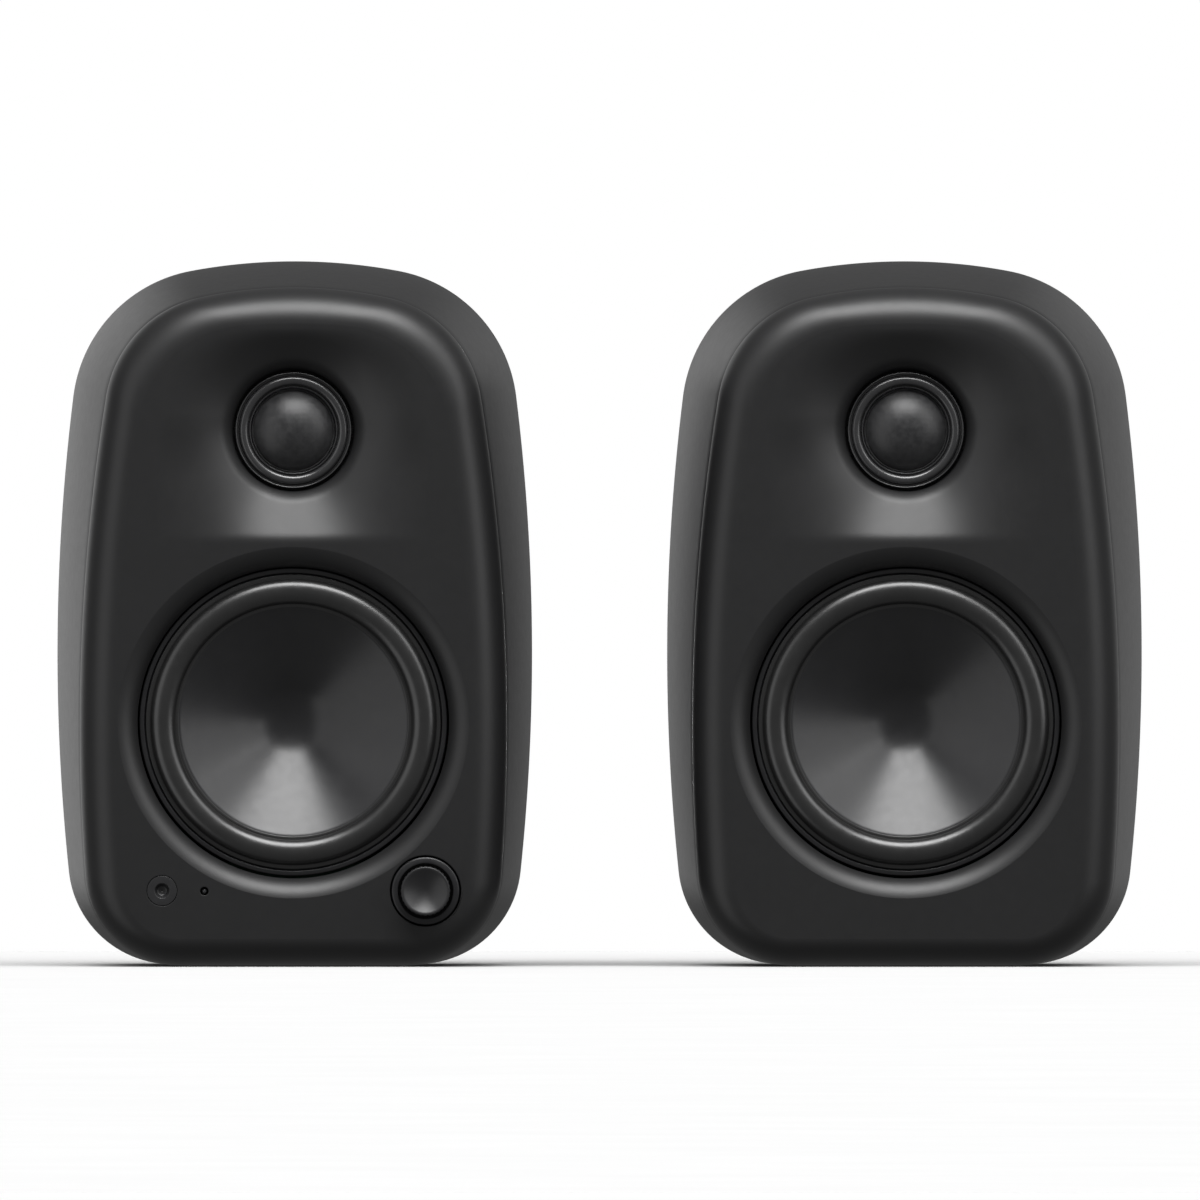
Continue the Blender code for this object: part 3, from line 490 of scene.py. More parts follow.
def cross_section(shape, inset=0.0):
    """(x, z) anticlockwise from the middle of the base: corner, side, shoulder and crown arcs."""
    width, mid, side, top, crown, shoulder, corner, base = shape
    width, side, crown = width - inset, side - inset, crown - inset
    shoulder, corner = max(shoulder - inset, 2.0), max(corner - inset, 2.0)
    top, base = top - inset, base + inset
    side_at = Vector((width - side, mid))
    crown_at = Vector((0.0, top - crown))
    across = crown_at - side_at
    reach, rise = side - shoulder, crown - shoulder
    along = (reach**2 - rise**2 + across.length**2) / (2 * across.length)
    off = sqrt(reach**2 - along**2)
    unit = across.normalized()
    shoulder_at = side_at + unit * along + Vector((-unit.y, unit.x)) * off
    corner_z = base + corner
    corner_at = Vector((side_at.x + sqrt((side - corner) ** 2 - (corner_z - mid) ** 2), corner_z))
    low = atan2(corner_z - mid, corner_at.x - side_at.x)
    high = atan2(shoulder_at.y - side_at.y, shoulder_at.x - side_at.x)
    peak = atan2(shoulder_at.y - crown_at.y, shoulder_at.x - crown_at.x)
    half = [(corner_at.x * i / 10, base) for i in range(1, 10)]
    half += arc(corner_at, corner, -pi / 2, low, 26)
    half += arc(side_at, side, low, high, 34)
    half += arc(shoulder_at, shoulder, high, peak, 34)
    half += arc(crown_at, crown, peak, pi / 2, 18)
    mirrored = [(-x, z) for x, z in reversed(half)]
    return [(0.0, base)] + half + [(0.0, top)] + mirrored


def between(first, second, share):
    return [a + (b - a) * share for a, b in zip(first, second)]


def flare(y):
    """How far the cabinet has spread from its crease to its widest section."""
    share = min(max((y - CREASE_Y) / (WIDEST_Y - CREASE_Y), 0.0), 1.0)
    return 1.0 - (1.0 - share) ** 1.6


def body_section(y, inset=0.0):
    return [(x, y, z) for x, z in cross_section(between(CREASE, BODY, flare(y)), inset)]


def cabinet_shell(side):
    """The flared shell: outer skin, soft rear edge, recess for the panel, and the inside."""
    rows = [(CREASE_Y, 0.6), (CREASE_Y + 0.04, 0.35), (CREASE_Y + 0.15, 0.15)]
    depth = CREASE_Y + 1.0
    while depth < REAR_ROUND_Y:
        share = max(0.0, (depth - WIDEST_Y) / (REAR_ROUND_Y - WIDEST_Y))
        rows.append((depth, REAR_DRAW * share**2))
        depth += 2.4
    for step in range(15):
        turn = REAR_TURN * step / 14
        y = REAR_ROUND_Y + (RIM_Y - REAR_ROUND_Y) * sin(turn) / sin(REAR_TURN)
        share = (1 - cos(turn)) / (1 - cos(REAR_TURN))
        rows.append((y, REAR_DRAW + (REAR_CUT - REAR_DRAW) * share))
    rows += [(RIM_Y, PANEL_INSET - 0.4), (RIM_Y - 0.1, PANEL_INSET - 0.1), (RIM_Y - 0.4, PANEL_INSET)]
    ledge = PANEL_Y - GAP
    rows += [(ledge, PANEL_INSET), (ledge, PANEL_INSET + WALL), (ledge - 2, PANEL_INSET + WALL)]
    rows += [(ledge - 6, WALL + 2), (WIDEST_Y, WALL), (-26, WALL), (CREASE_Y, WALL)]
    shape = loft([body_section(y, inset) for y, inset in rows], ring=True)
    piece(f"{side}_shell", shape, MAT["cabinet"], f"{side}_speaker",
          [f"{side}_cabinet_shell"], (SPEAKER_X[side], 0, 0))


def base_pad(side):
    """The rubber pad under the cabinet, with a soft lower edge."""
    low, high = corners(f"{side}_base_pad")
    width, length = high.x - low.x, high.y - low.y
    sections = []
    for z, inset in ((0.35, 0.0), (0.12, 0.05), (0.0, 0.3)):
        outline = rounded(width - 2 * inset, length - 2 * inset, 6 - inset)
        sections.append([(x, y + (low.y + high.y) / 2, z) for x, y in outline])
    piece(f"{side}_pad", loft(sections), MAT["pad"], f"{side}_speaker",
          [f"{side}_base_pad"], (SPEAKER_X[side], 0, 0))


# --- front baffle -------------------------------------------------------------------------------


def mouth(turn):
    """The dish's reach from the tweeter's axis, squarer below than above."""
    across, up = cos(turn), sin(turn)
    half_height, power = (DISH_UP, 3.0) if up > 0 else (DISH_DOWN, 5.0)
    total = abs(across / DISH_HALF_WIDTH) ** power + abs(up / half_height) ** power
    return total ** (-1 / power)


def bowl_depth(x, z):
    """A straight slope towards the tweeter's axis with a rounded-off edge."""
    radius, turn = sqrt(x * x + z * z), atan2(z, x)
    reach = mouth(turn)
    share = (reach - radius) / (reach - THROAT_START)
    if share <= 0:
        return 0.0
    up = sin(turn)
    upright = abs(up) ** 1.5
    soft = (EDGE_ABOVE if up > 0 else EDGE_BELOW) * upright + EDGE_BESIDE * (1 - upright)
    fall = share * share / (2 * soft) if share < soft else share - soft / 2
    return DISH_DEPTH * fall / (1 - soft / 2)


def ramp_depth(x, z):
    """A ramp that rises out of a straight lower edge, and is steepest on the middle line."""
    above = max(z + DISH_DOWN, 0.0)
    run = above * above / (2 * RAMP_EDGE) if above < RAMP_EDGE else above - RAMP_EDGE / 2
    fade = max(1 - (x / RAMP_END) ** 6, 0.0)
    return RAMP_SLOPE * fade * run / (1 + (abs(x) / RAMP_HALF) ** 3)


def dish_depth(x, z):
    """How deep the dish is at a point of the baffle: a bowl that turns into the ramp below."""
    share = min(max((z - RAMP_TO) / (RAMP_FROM - RAMP_TO), 0.0), 1.0)
    share = share * share * (3 - 2 * share)
    return bowl_depth(x, z) * share + ramp_depth(x, z) * (1 - share)


def throat(step, turn):
    """A point of the lip that rolls from the dish down to the tweeter, for a step from 0 to 1."""
    radius = THROAT_LIP + (THROAT_RADIUS - THROAT_LIP) * step
    end = dish_depth(THROAT_RADIUS * cos(turn), THROAT_RADIUS * sin(turn))
    roll_off = (THROAT_DEPTH - end) * (1 - sqrt(max(0.0, 1 - step * step)))
    depth = dish_depth(radius * cos(turn), radius * sin(turn)) + roll_off
    return radius * cos(turn), FRONT_Y + depth, TWEETER_Z + radius * sin(turn)


def rings(rows, segments, x, z):
    """An open skin of rings of (radius, y) about a centre."""
    return skin([[(px, y, pz) for px, pz in circle(radius, segments, x, z)] for radius, y in rows])


def woofer_cove():
    """(radius, y) from the flat face down the rolled-off cove to the woofer's seat."""
    soft = 0.5
    rows = [(COVE_RADIUS + 0.16, FRONT_Y)]
    for step in range(4):
        turn = COVE_START * step / 4
        radius = COVE_RADIUS + soft * (sin(COVE_START) - sin(turn))
        rows.append((radius, FRONT_Y + soft * (1 - cos(turn))))
    end = asin(sin(COVE_START) + (COVE_RADIUS - COVE_SEAT) / COVE_BEND)
    for step in range(25):
        turn = COVE_START + (end - COVE_START) * step / 24
        radius = COVE_RADIUS - COVE_BEND * (sin(turn) - sin(COVE_START))
        rows.append((radius, FRONT_Y + 0.015 + COVE_BEND * (cos(COVE_START) - cos(turn))))
    return rows + [(COVE_SEAT, rows[-1][1] + 0.1), (COVE_SEAT, rows[-1][1] + 3.0)]


def front_baffle(side):
    """The flat face with its dish, cove and holes, and the convex edge round it."""
    cove = woofer_cove()
    hole_loops = [circle(cove[0][0], FINE, 0, COVE_Z), circle(THROAT_LIP, ROUND, 0, TWEETER_Z)]
    skins = [rings(cove, FINE, 0, COVE_Z)]
    turns = [2 * pi * i / ROUND for i in range(ROUND)]
    lip = [[throat(sin(pi / 2 * step / 16), turn) for turn in turns] for step in range(17)]
    skins.append(skin(lip))
    if side == "left":
        small_holes = ((BEZEL_HOLE, KNOB_AT, 0.15, 96), (JACK_HOLE, JACK_AT, 0.08, SMALL),
                       (LIGHT_HOLE, LIGHT_AT, 0.12, 32))
        for radius, (x, z), edge, count in small_holes:
            hole_loops.append(circle(radius + edge + 0.2, count, x, z))
            rows = [(radius + edge + 0.2, FRONT_Y), (radius + edge, FRONT_Y)]
            rows += [(radius + edge * 0.3, FRONT_Y + edge * 0.3), (radius, FRONT_Y + edge)]
            rows += [(radius, FRONT_Y + HOLE_DEPTH)]
            skins.append(rings(rows, count, x, z))
    pitch = 0.75
    columns = np.arange(-DISH_HALF_WIDTH - 2, DISH_HALF_WIDTH + 2.01, pitch)
    grid = [(x, TWEETER_Z + z) for x in columns for z in np.arange(-DISH_DOWN - 2, DISH_UP + 2, pitch)]
    near = [sqrt(x * x + (z - TWEETER_Z) ** 2) > THROAT_LIP + 0.5 * pitch for x, z in grid]
    fits = inside(grid, cross_section(FLAT, 0.6)) & np.array(near)
    extra = [point for point, fit in zip(grid, fits) if fit]
    flat, faces = sheet(cross_section(FLAT, 0.05), hole_loops, extra)
    face = [(x, FRONT_Y + dish_depth(x, z - TWEETER_Z), z) for x, z in flat]
    skins.append((face, faces))
    depth = CREASE_Y - GAP - FRONT_Y
    edge = [[(x, FRONT_Y, z) for x, z in cross_section(FLAT, 0.05)]]
    for step in range(19):
        turn = FILLET_TURN * step / 18
        y = FRONT_Y + depth * (1 - cos(turn)) / (1 - cos(FILLET_TURN))
        outline = cross_section(between(FLAT, CREASE, sin(turn) / sin(FILLET_TURN)))
        edge.append([(x, y, z) for x, z in outline])
    skins.append(skin(edge))
    baffle = piece(f"{side}_baffle", together(*skins), MAT["cabinet"], f"{side}_speaker",
                   [f"{side}_front_baffle"], (SPEAKER_X[side], 0, 0))
    thick = baffle.modifiers.new("Wall", "SOLIDIFY")
    thick.thickness = 2.0 * MM
    thick.offset = -1.0
    even_normals(baffle)


# --- drivers ------------------------------------------------------------------------------------


def driver_at(side, z):
    return SPEAKER_X[side], 0, z


def woofer_basket(side):
    """The frame: trim ring, seat for the surround, skirt, spider shelf and back plate."""
    ring = [(38.4, FLANGE_Y, 0.35), (38.4, FLANGE_Y + 2.7, 0.2), (34.4, FLANGE_Y + 2.7, 0.5)]
    skirt = [(26.3, -36.0, 0.8), (26.3, -32.1, 0.3), (12.0, -32.1, 0.2), (12.0, -33.7, 0.2)]
    skirt += [(20.0, -33.7, 0.2), (20.0, -35.0, 0.2), (22.6, -35.0, 0.3), (24.6, -36.5, 0.8)]
    skirt += [(33.0, -52.3, 0.5)]
    seat = [(33.2, FLANGE_Y + 1.1, 0.1), (36.95, FLANGE_Y + 1.1, 0.1), (37.15, FLANGE_Y, 0.3)]
    piece(f"{side}_basket", turned(ring + skirt + seat, FINE), MAT["trim"], f"{side}_speaker",
          [f"{side}_woofer_basket"], driver_at(side, WOOFER_Z))


def roll(turns, thick=0.0):
    """The half roll's arc, as (radius, y) above its rims."""
    mid = (SURROUND_OUTER + SURROUND_INNER) / 2
    half = (SURROUND_OUTER - SURROUND_INNER) / 2
    rim = FLANGE_Y + 0.2
    return [(mid + (half - thick) * cos(t), rim - (SURROUND_HEIGHT - thick) * sin(t)) for t in turns]


def follow_cone(obj, side, z):
    """Bakes the placing of a ring between the basket and the cone into its mesh, and reads its points about
    the driver's axis.
    """
    at = Vector(driver_at(side, z)) * MM
    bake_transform(obj)
    points = np.empty(len(obj.data.vertices) * 3)
    obj.data.vertices.foreach_get("co", points)
    points = points.reshape(-1, 3) - np.array(at)


def woofer_surround(side):
    rim, thick = FLANGE_Y + 0.2, 0.6
    steps = [pi * i / 28 for i in range(29)]
    outline = [(36.75, rim + thick, 0.1), (36.75, rim, 0.2)] + roll(steps)
    outline += [(CONE_RIM, rim, 0.2), (CONE_RIM, rim + thick, 0.1)] + roll(steps[::-1], thick)[1:-1]
    shape = turned(outline, FINE, steps=3)
    ring = piece(f"{side}_surround", shape, MAT["rubber"], None,
                 [f"{side}_woofer_surround"], driver_at(side, WOOFER_Z), sharp=60)
    follow_cone(ring, side, WOOFER_Z)


def cone_y(radius):
    """The cone's depth: straight sides that run smoothly out of a part of a ball."""
    nose = min(radius, CONE_NOSE * sin(CONE_SLOPE))
    return CONE_APEX_Y - CONE_NOSE + sqrt(CONE_NOSE**2 - nose**2) - tan(CONE_SLOPE) * (radius - nose)


def woofer_cone(side):
    radii = [CONE_RIM * i / 40 for i in range(41)]
    front = [(radius, cone_y(radius)) for radius in radii]
    back = [(radius, y + CONE_THICKNESS) for radius, y in front[::-1]]
    rim = cone_y(CONE_RIM)
    outline = front + [(29.6, rim), (29.6, rim + CONE_THICKNESS)] + back
    piece(f"{side}_cone", turned(outline, FINE, steps=1), MAT["cone"], f"{side}_woofer_cone",
          [f"{side}_woofer_cone"], driver_at(side, WOOFER_Z))


def woofer_spider(side):
    """The corrugated cloth disc that centres the coil."""
    low, high = corners(f"{side}_woofer_spider")
    inner, outer, thick, waves = 10.7, high.x - SPEAKER_X[side], 0.45, 4
    mid = (low.y + high.y) / 2
    radii = [inner + (outer - 2.0 - inner) * i / 64 for i in range(65)]
    lift = [0.6 * sin(2 * pi * waves * i / 64) for i in range(65)]
    front = [(radius, mid - thick / 2 + rise) for radius, rise in zip(radii, lift)]
    back = [(radius, mid + thick / 2 + rise) for radius, rise in zip(radii, lift)]
    outline = front + [(outer, mid - thick / 2), (outer, mid + thick / 2)] + back[::-1]
    disc = piece(f"{side}_spider", turned(outline, ROUND, steps=1), MAT["spider"], None,
                 [f"{side}_woofer_spider"], driver_at(side, WOOFER_Z), sharp=60)
    follow_cone(disc, side, WOOFER_Z)


def tweeter_faceplate(side):
    """Thin ring, groove, glossy half-round trim, groove and inner ring, then the hidden flange."""
    turns = [pi * i / 20 for i in range(21)]
    bead = [(BEAD_RADIUS + BEAD_HALF_WIDTH * cos(t), BEAD_Y - BEAD_HEIGHT * sin(t)) for t in turns]
    outline = [(14.45, -51.7, 0.17), (14.1, -51.7, 0.17), (14.05, -50.3, 0.1), (13.6, -50.3, 0.1)] + bead
    outline += [(11.3, -50.2, 0.1), (11.05, -50.2, 0.1), (11.0, -50.8, 0.1), (10.7, -50.8, 0.08)]
    outline += [(10.7, -44.0, 0.2), (19.5, -44.0, 0.3), (19.5, -46.2, 0.3), (14.45, -46.2, 0.2)]
    piece(f"{side}_faceplate", turned(outline, FINE, steps=3), MAT["gloss"], f"{side}_speaker",
          [f"{side}_tweeter_faceplate"], driver_at(side, TWEETER_Z))


def tweeter_dome(side):
    """The silk dome with its small roll and the coil former behind."""
    low = corners(f"{side}_tweeter_dome")[0]
    ball = (DOME_EDGE**2 + DOME_RISE**2) / (2 * DOME_RISE)
    radii = [DOME_EDGE * i / 28 for i in range(29)]
    front = [(radius, low.y + ball - sqrt(ball**2 - radius**2)) for radius in radii]
    back = [(radius, y + 0.35) for radius, y in front if radius < 9.2][::-1]
    edge_y = front[-1][1]
    outline = front + [(10.05, edge_y + 0.25, 0.1), (10.25, edge_y - 0.1, 0.1), (10.5, edge_y + 0.1, 0.1)]
    outline += [(10.5, edge_y + 0.6, 0.1), (10.0, edge_y + 0.7, 0.1), (10.0, -40.5, 0.05), (9.5, -40.5, 0.05)]
    outline += [(9.5, edge_y + 0.4)] + back
    piece(f"{side}_dome", turned(outline, ROUND, steps=3), MAT["silk"], f"{side}_tweeter_dome",
          [f"{side}_tweeter_dome"], driver_at(side, TWEETER_Z))


# --- controls on the left front -----------------------------------------------------------------


def left_front_place(at):
    return SPEAKER_X["left"] + at[0], 0, at[1]


def volume_knob():
    """A knurled knob with a soft rim round a concave face."""
    face = KNOB_FACE_Y

    def ribs(turn, radius, y):
        if radius < KNOB_RADIUS - 0.12 or y < face + 0.3:
            return 0.0
        return RIB_DEPTH * (abs(cos(turn * KNOB_RIBS / 2)) ** 0.6 - 1.0)

    shares = [i / 16 for i in range(17)]
    hollow = [(HOLLOW_RADIUS * share, face + HOLLOW_DEPTH * (1 - share**1.6)) for share in shares]
    outline = hollow + [(5.95, face, 0.35), (KNOB_RADIUS, face + 0.6, 0.25), (KNOB_RADIUS, -56.2, 0.2)]
    outline += [(5.8, -56.0, 0.1), (1.8, -56.0), (1.8, -62.0), (0.0, -62.0)]
    knob = turned(outline, KNOB_RIBS * 12, ribs)
    piece("left_knob", knob, MAT["knob"], "volume_knob", ["left_volume_knob"],
          left_front_place(KNOB_AT))


def knob_bezel():
    """The cup that the knob turns in, with a gently domed rim."""
    outline = [(4.6, -53.0), (4.6, -55.0, 0.1), (6.85, -55.0, 0.1), (6.85, FRONT_Y - 0.15, 0.15)]
    outline += [(7.1, FRONT_Y - 0.2, 0.1), (7.5, FRONT_Y - 0.16, 0.2), (8.0, FRONT_Y - 0.06, 0.2)]
    outline += [(8.3, FRONT_Y + 0.04, 0.15), (8.5, FRONT_Y + 0.35, 0.15), (8.5, -53.0, 0.2)]
    piece("left_bezel", turned(outline, FINE, steps=3), MAT["trim"], "left_speaker",
          ["left_knob_bezel"], left_front_place(KNOB_AT))


def headphone_jack():
    outline = [(3.7, FRONT_Y, 0.1), (3.7, -53.0, 0.1), (5.0, -53.0, 0.2), (5.0, -44.7, 0.3), (0.0, -44.7)]
    outline += [(0.0, -57.5, 0.3), (1.2, -57.7, 0.4), (1.75, FRONT_Y + 0.25, 0.1), (1.9, FRONT_Y, 0.1)]
    piece("left_jack", turned(outline, SMALL), MAT["knob"], "left_speaker",
          ["left_headphone_jack"], left_front_place(JACK_AT))


def light_pipe():
    outline = [(0.0, -58.6), (0.45, -58.5, 0.15), (0.75, -58.0, 0.15), (0.75, -44.7, 0.1), (0.0, -44.7)]
    piece("left_indicator", turned(outline, 32), MAT["lens"], "left_speaker",
          ["left_led_light_pipe"], left_front_place(LIGHT_AT))


# --- rear ---------------------------------------------------------------------------------------


def rear_panel(side):
    """The panel with its straight holes, and its edge rounded off towards the back."""
    holes = [circle(PORT_HOLE, 96, 0, PORT_Z)]
    if side == "left":
        for name in ("left_phono_socket_a", "left_phono_socket_b", "left_link_socket"):
            holes.append(circle(SOCKET_HOLE, 48, *own_place(name)))
        holes.append(circle(AUX_HOLE, 48, *own_place("left_aux_socket")))
        holes.append(rounded(*INLET_HOLE, *own_place("left_mains_inlet")))
        holes.append(rounded(*ROCKER_HOLE, *own_place("left_rocker_housing")))
    else:
        at = middle("right_link_socket")
        holes.append(circle(SOCKET_HOLE, 48, at.x - SPEAKER_X["right"], at.z))
    soft, inset = 0.4, PANEL_INSET + GAP
    rows = [(PANEL_Y, 0.0)]
    for step in range(6):
        turn = pi / 2 * step / 5
        rows.append((PANEL_BACK_Y - soft * (1 - sin(turn)), soft * (1 - cos(turn))))
    rows.append((PANEL_BACK_Y, soft + 0.4))
    outlines = [(y, cross_section(BODY, inset + cut_back)) for y, cut_back in rows]
    skins = [skin([[(x, y, z) for x, z in outline] for y, outline in outlines])]
    for hole in holes:
        skins.append(skin([[(x, y, z) for x, z in hole] for y in (PANEL_Y, PANEL_BACK_Y)]))
    for y, outline in (outlines[0], outlines[-1]):
        points, faces = sheet(outline, holes)
        skins.append(([(x, y, z) for x, z in points], faces))
    panel = piece(f"{side}_panel", together(*skins), MAT["panel"], f"{side}_speaker",
                  [f"{side}_rear_panel"], (SPEAKER_X[side], 0, 0))
    even_normals(panel)


def screw_places():
    """Six places round the rear panel's edge."""
    low, high = corners("left_rear_panel")
    half = (high.x - low.x) / 2
    rows = ((low.z + 9.0, half - 11.5), ((low.z + high.z) / 2, half - 4.2), (high.z - 12.0, half - 16.0))
    return [(sign * x, z) for z, x in rows for sign in (-1, 1)]


def cross_recess(x, z, y):
    """The two crossed slots in a screw's head, as one closed cutter."""
    arm, half, deep = 1.5, 0.32, 0.8
    corners_out = [(arm, -half), (arm, half), (half, half), (half, arm), (-half, arm), (-half, half)]
    corners_out += [(-arm, half), (-arm, -half), (-half, -half), (-half, -arm), (half, -arm), (half, -half)]
    sections = []
    for depth, scale in ((y + 0.2, 1.1), (y - deep, 0.55)):
        sections.append([(x + a * scale, depth, z + b * scale) for a, b in corners_out])
    return loft(sections)


def rear_screws(side):
    """Pan-head screws with crossed recesses, which hold the rear panel."""
    head = [(0.0, 1.55), (1.2, 1.5), (2.1, 1.25), (2.75, 0.8), (3.0, 0.25), (3.0, 0.0, 0.05), (0.0, 0.0)]
    heads, slots = [], []
    for x, z in screw_places():
        heads.append(moved(turned(head, 48, steps=2), x, PANEL_BACK_Y, z))
        slots.append(cross_recess(x, z, PANEL_BACK_Y + 1.45))
    screws = piece(f"{side}_rear_screws", together(*heads), MAT["steel"], f"{side}_speaker",
                   (), (SPEAKER_X[side], 0, 0))
    cut(screws, together(*slots), (SPEAKER_X[side], 0, 0))


def cut(obj, shape, at):
    """Cuts a closed shape out of a piece, and leaves no helper behind."""
    cutter = placed_object("cutter", shape, at)
    modifier = obj.modifiers.new("Cut", "BOOLEAN")
    modifier.object = cutter
    modifier.solver = "EXACT"
    graph = bpy.context.evaluated_depsgraph_get()
    result = bpy.data.meshes.new_from_object(obj.evaluated_get(graph))
    obj.modifiers.remove(modifier)
    old = obj.data
    obj.data = result
    result.name = old.name
    bpy.data.objects.remove(cutter, do_unlink=True)
    smoothed(result, 40)


def bass_port(side):
    """The port's flared mouth and tube."""
    seat = PANEL_BACK_Y + GAP
    turns = [pi / 2 * i / 18 for i in range(19)]
    flare_in = [(15.6 - 4.1 * sin(t), 58.2 - 9.0 * (1 - cos(t))) for t in turns]
    outline = [(13.6, 5.0, 0.5), (13.6, seat), (18.0, seat, 0.1), (18.0, 57.4, 0.5), (16.9, 58.2, 0.4)]
    outline += flare_in + [(11.5, 5.0, 0.5)]
    piece(f"{side}_port", turned(outline, ROUND), MAT["trim"], f"{side}_speaker",
          [f"{side}_bass_port"], (SPEAKER_X[side], 0, PORT_Z))


def phono_socket(node_name, side, colour):
    """A nickel barrel with a coloured insulator ring, and the body behind the panel."""
    at = middle(node_name)
    seat, back = PANEL_BACK_Y + GAP, corners(node_name)[0].y
    barrel = [(3.0, seat - 1), (4.15, seat - 1), (4.15, TIP_Y, 0.3), (3.55, TIP_Y, 0.2)]
    barrel += [(3.55, seat + 1), (3.0, seat + 1)]
    insert = [(4.3, back), (4.3, seat), (5.8, seat, 0.1), (5.8, seat + 1.2, 0.4), (4.2, seat + 1.2)]
    insert += [(3.5, seat + 1.2), (3.5, TIP_Y - 1.2, 0.2), (1.7, TIP_Y - 1.2, 0.3), (1.7, seat)]
    insert += [(0.0, seat), (0.0, back)]
    piece(f"{node_name}_body", turned(insert, 48), MAT[colour], f"{side}_speaker",
          [node_name], (at.x, 0, at.z))
    piece(f"{node_name}_barrel", turned(barrel, 48), MAT["socket"], f"{side}_speaker",
          (), (at.x, 0, at.z))


def aux_socket():
    at = middle("left_aux_socket")
    low, high = corners("left_aux_socket")
    seat = PANEL_BACK_Y + GAP
    body = [(3.9, low.y), (3.9, seat), (4.8, seat, 0.1), (4.8, high.y - 1.0, 0.3), (3.9, high.y - 0.6, 0.2)]
    body += [(1.85, high.y - 0.6, 0.1), (1.85, 50.0), (0.0, 50.0), (0.0, low.y)]
    piece("left_aux_body", turned(body, 48), MAT["trim"], "left_speaker",
          ["left_aux_socket"], (at.x, 0, at.z))
    nut = [(3.6, high.y - 0.7), (3.6, high.y, 0.2), (2.1, high.y, 0.3), (2.1, high.y - 0.7)]
    piece("left_aux_nut", turned(nut, 48), MAT["socket"], "left_speaker", (), (at.x, 0, at.z))


def carried_over():
    """Better materials for the CAD nodes that stay as they are."""
    finishes = {
        "woofer_voice_coil": "copper", "woofer_top_plate": "steel", "woofer_magnet": "ferrite",
        "woofer_yoke": "steel", "tweeter_motor": "steel", "crossover_board": "board",
        "woofer_lead": "wire", "tweeter_lead": "wire", "encoder_shaft": "alloy",
        "encoder_rotor": "alloy", "encoder_body": "trim", "control_board": "board",
        "amp_board": "board", "heatsink": "alloy", "psu_board": "board", "rocker_housing": "trim",
        "rocker_pin": "steel", "power_rocker": "gloss", "mains_inlet": "trim",
        "control_lead": "wire", "mains_lead": "wire",
    }
    for name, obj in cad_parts.items():
        finish = finishes.get(name.split("_", 1)[1])
        if finish:
            for place in obj.material_slots:
                place.material = MAT[finish]


# --- stage --------------------------------------------------------------------------------------


def softbox(name, at, aim, size, radiance):
    """A rectangular light at a place, turned towards a point, hidden from the camera."""
    light = bpy.data.lights.new(name, "AREA")
    light.shape = "RECTANGLE"
    light.size, light.size_y = size
    light.energy = radiance * pi * size[0] * size[1]
    obj = bpy.data.objects.new(name, light)
    bpy.context.scene.collection.objects.link(obj)
    obj.location = at
    obj.rotation_euler = (Vector(aim) - Vector(at)).to_track_quat("-Z", "Y").to_euler()
    obj.visible_camera = False
    return obj


def make_world(backdrop, below, above):
    """A white backdrop for the camera, and for the rest a dim room, darker below than above."""
    world = bpy.data.worlds.new("studio")
    world.use_nodes = True
    tree = world.node_tree
    tree.nodes.clear()
    seen = node(tree, "ShaderNodeBackground", Color=(1, 1, 1, 1), Strength=backdrop)
    room = node(tree, "ShaderNodeBackground", Color=(1, 1, 1, 1))
    where = tree.nodes.new("ShaderNodeTexCoord")
    split = tree.nodes.new("ShaderNodeSeparateXYZ")
    limits = {"From Min": -0.3, "From Max": 0.3, "To Min": below, "To Max": above}
    rise = node(tree, "ShaderNodeMapRange", **limits)
    tree.links.new(where.outputs["Generated"], split.inputs["Vector"])
    tree.links.new(split.outputs["Z"], rise.inputs["Value"])
    tree.links.new(rise.outputs["Result"], room.inputs["Strength"])
    rays = tree.nodes.new("ShaderNodeLightPath")
    mix = tree.nodes.new("ShaderNodeMixShader")
    out = tree.nodes.new("ShaderNodeOutputWorld")
    tree.links.new(rays.outputs["Is Camera Ray"], mix.inputs["Fac"])
    tree.links.new(room.outputs["Background"], mix.inputs[1])
    tree.links.new(seen.outputs["Background"], mix.inputs[2])
    tree.links.new(mix.outputs["Shader"], out.inputs["Surface"])
    bpy.context.scene.world = world


def make_floor():
    """A pale floor that ends a little way behind the speakers."""
    near, far, half = -5.0, 0.52, 3.0
    mesh = bpy.data.meshes.new("floor")
    mesh.from_pydata([(-half, near, 0), (half, near, 0), (half, far, 0), (-half, far, 0)], [], [(0, 1, 2, 3)])
    material, tree, shader = new_material("pale floor", 0.9, specular=0.1)
    tree.links.new(tint(tree, noise(tree, 60.0), (0.90, 0.90, 0.90), (0.92, 0.92, 0.92)),
                   shader.inputs["Base Color"])
    mesh.materials.append(material)
    floor = bpy.data.objects.new("floor", mesh)
    bpy.context.scene.collection.objects.link(floor)
    floor.visible_glossy = False
    floor.visible_diffuse = False
    floor.visible_shadow = False
    return floor


def light_apart(floor, lights):
    """Gives the floor two wide suns of its own, and keeps the speakers' lights off it."""
    suns = []
    for energy, lean in ((3.1, 47), (0.8, 8)):
        sun = bpy.data.lights.new("floor sun", "SUN")
        sun.energy = energy
        sun.angle = radians(75)
        obj = bpy.data.objects.new("floor sun", sun)
        bpy.context.scene.collection.objects.link(obj)
        obj.rotation_euler = (radians(lean), 0, 0)
        suns.append(obj)
    for sun in suns:
        link_light(sun, [floor], "INCLUDE")
    for light in lights:
        link_light(light, [floor], "EXCLUDE")


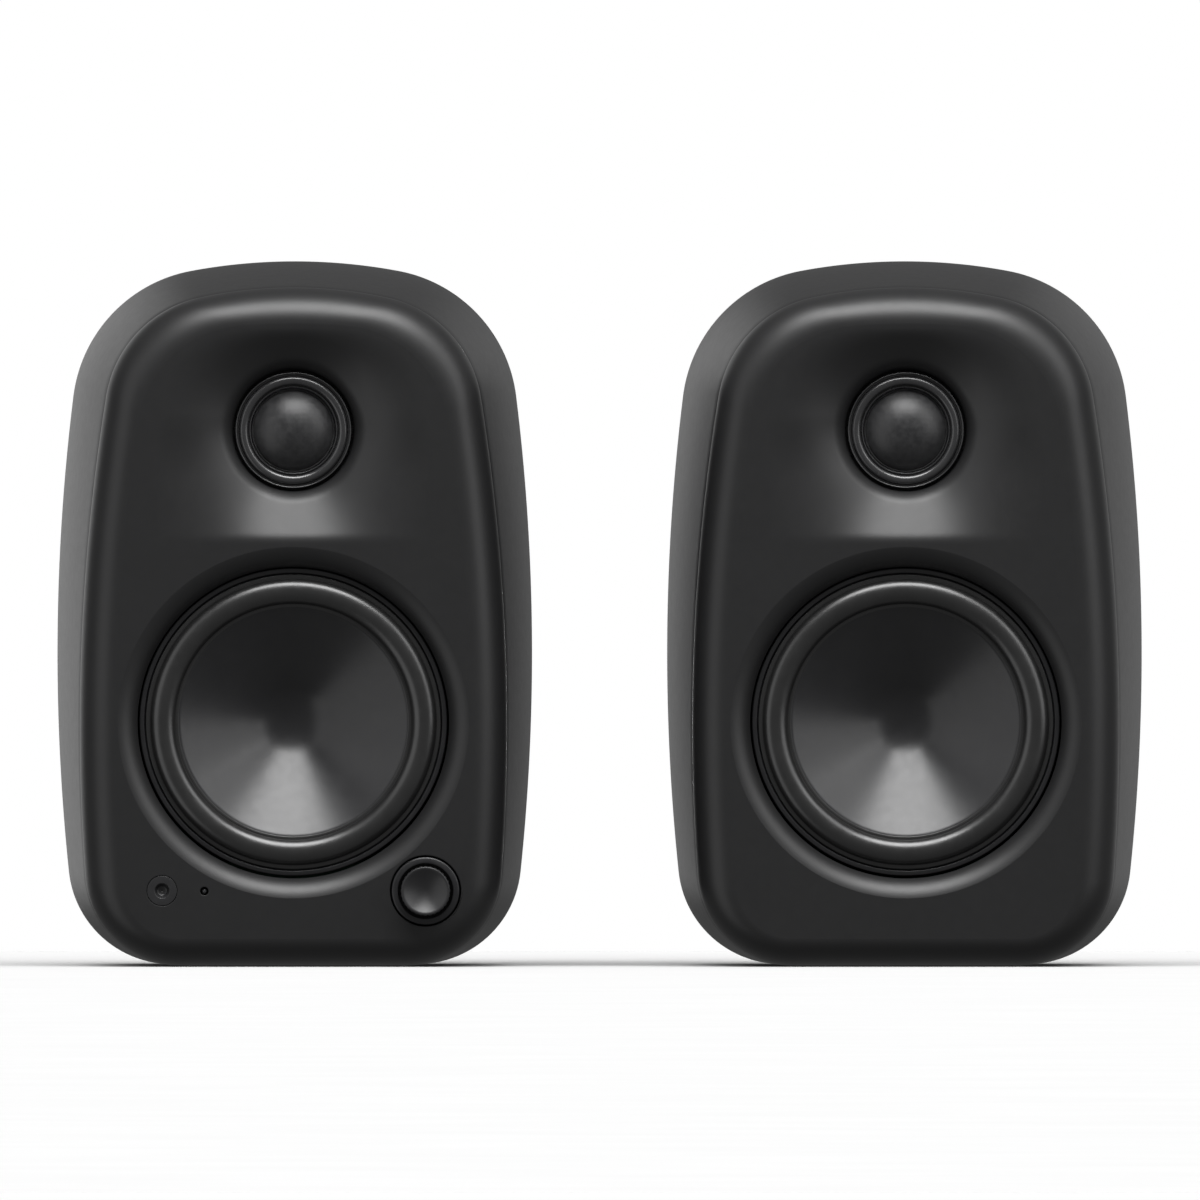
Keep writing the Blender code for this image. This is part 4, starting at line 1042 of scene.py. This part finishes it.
def link_light(light, objects, state):
    """Lets a light fall on nothing but some objects, or on all but them."""
    receivers = bpy.data.collections.new(f"{light.name} receivers")
    for obj in objects:
        receivers.objects.link(obj)
    for member in receivers.collection_objects:
        member.light_linking.link_state = state
    light.light_linking.receiver_collection = receivers


def make_camera():
    """Straight on, from far away, so that the speakers show almost without perspective."""
    distance, focus = 13.0, -0.025
    camera = bpy.data.cameras.new("camera")
    camera.lens = 1560.0
    camera.sensor_width = 36.0
    camera.clip_end = 100.0
    obj = bpy.data.objects.new("camera", camera)
    bpy.context.scene.collection.objects.link(obj)
    obj.location = (0.0001, focus - distance, 0.0915)
    obj.rotation_euler = (pi / 2, 0, 0)
    bpy.context.scene.camera = obj


def make_stage():
    scene = bpy.context.scene
    scene.view_settings.view_transform = "Standard"
    make_world(1.0, 0.18, 0.20)
    make_camera()
    target = (0, -0.05, 0.09)
    lights = [
        softbox("key", (0.03, -0.62, 1.2), target, (1.0, 0.75), 10.7),
        softbox("left", (-1.1, -0.75, 0.05), target, (0.9, 1.9), 0.8),
        softbox("right", (1.2, -0.75, 0.45), target, (0.8, 0.9), 1.6),
        softbox("upper right", (0.95, -0.65, 1.0), target, (0.7, 0.7), 2.3),
        softbox("back left", (-0.75, 1.3, 0.35), target, (0.9, 1.0), 0.85),
        softbox("back right", (0.75, 1.3, 0.35), target, (0.9, 1.0), 0.33),
    ]
    floor = make_floor()
    light_apart(floor, lights)
    behind = softbox("behind", (0.0, 2.2, 0.25), target, (0.8, 0.4), 14.0)
    shells = [bpy.data.objects[f"{side}_shell"] for side in SIDES]
    link_light(behind, [floor, *shells], "EXCLUDE")


# --- assembly -----------------------------------------------------------------------------------


for side in SIDES:
    cabinet_shell(side)
    front_baffle(side)
    base_pad(side)
    woofer_basket(side)
    woofer_surround(side)
    woofer_cone(side)
    woofer_spider(side)
    tweeter_faceplate(side)
    tweeter_dome(side)
    rear_panel(side)
    rear_screws(side)
    bass_port(side)
    phono_socket(f"{side}_link_socket", side, "trim")
phono_socket("left_phono_socket_a", "left", "red")
phono_socket("left_phono_socket_b", "left", "white")
aux_socket()
volume_knob()
knob_bezel()
headphone_jack()
light_pipe()
carried_over()
make_stage()
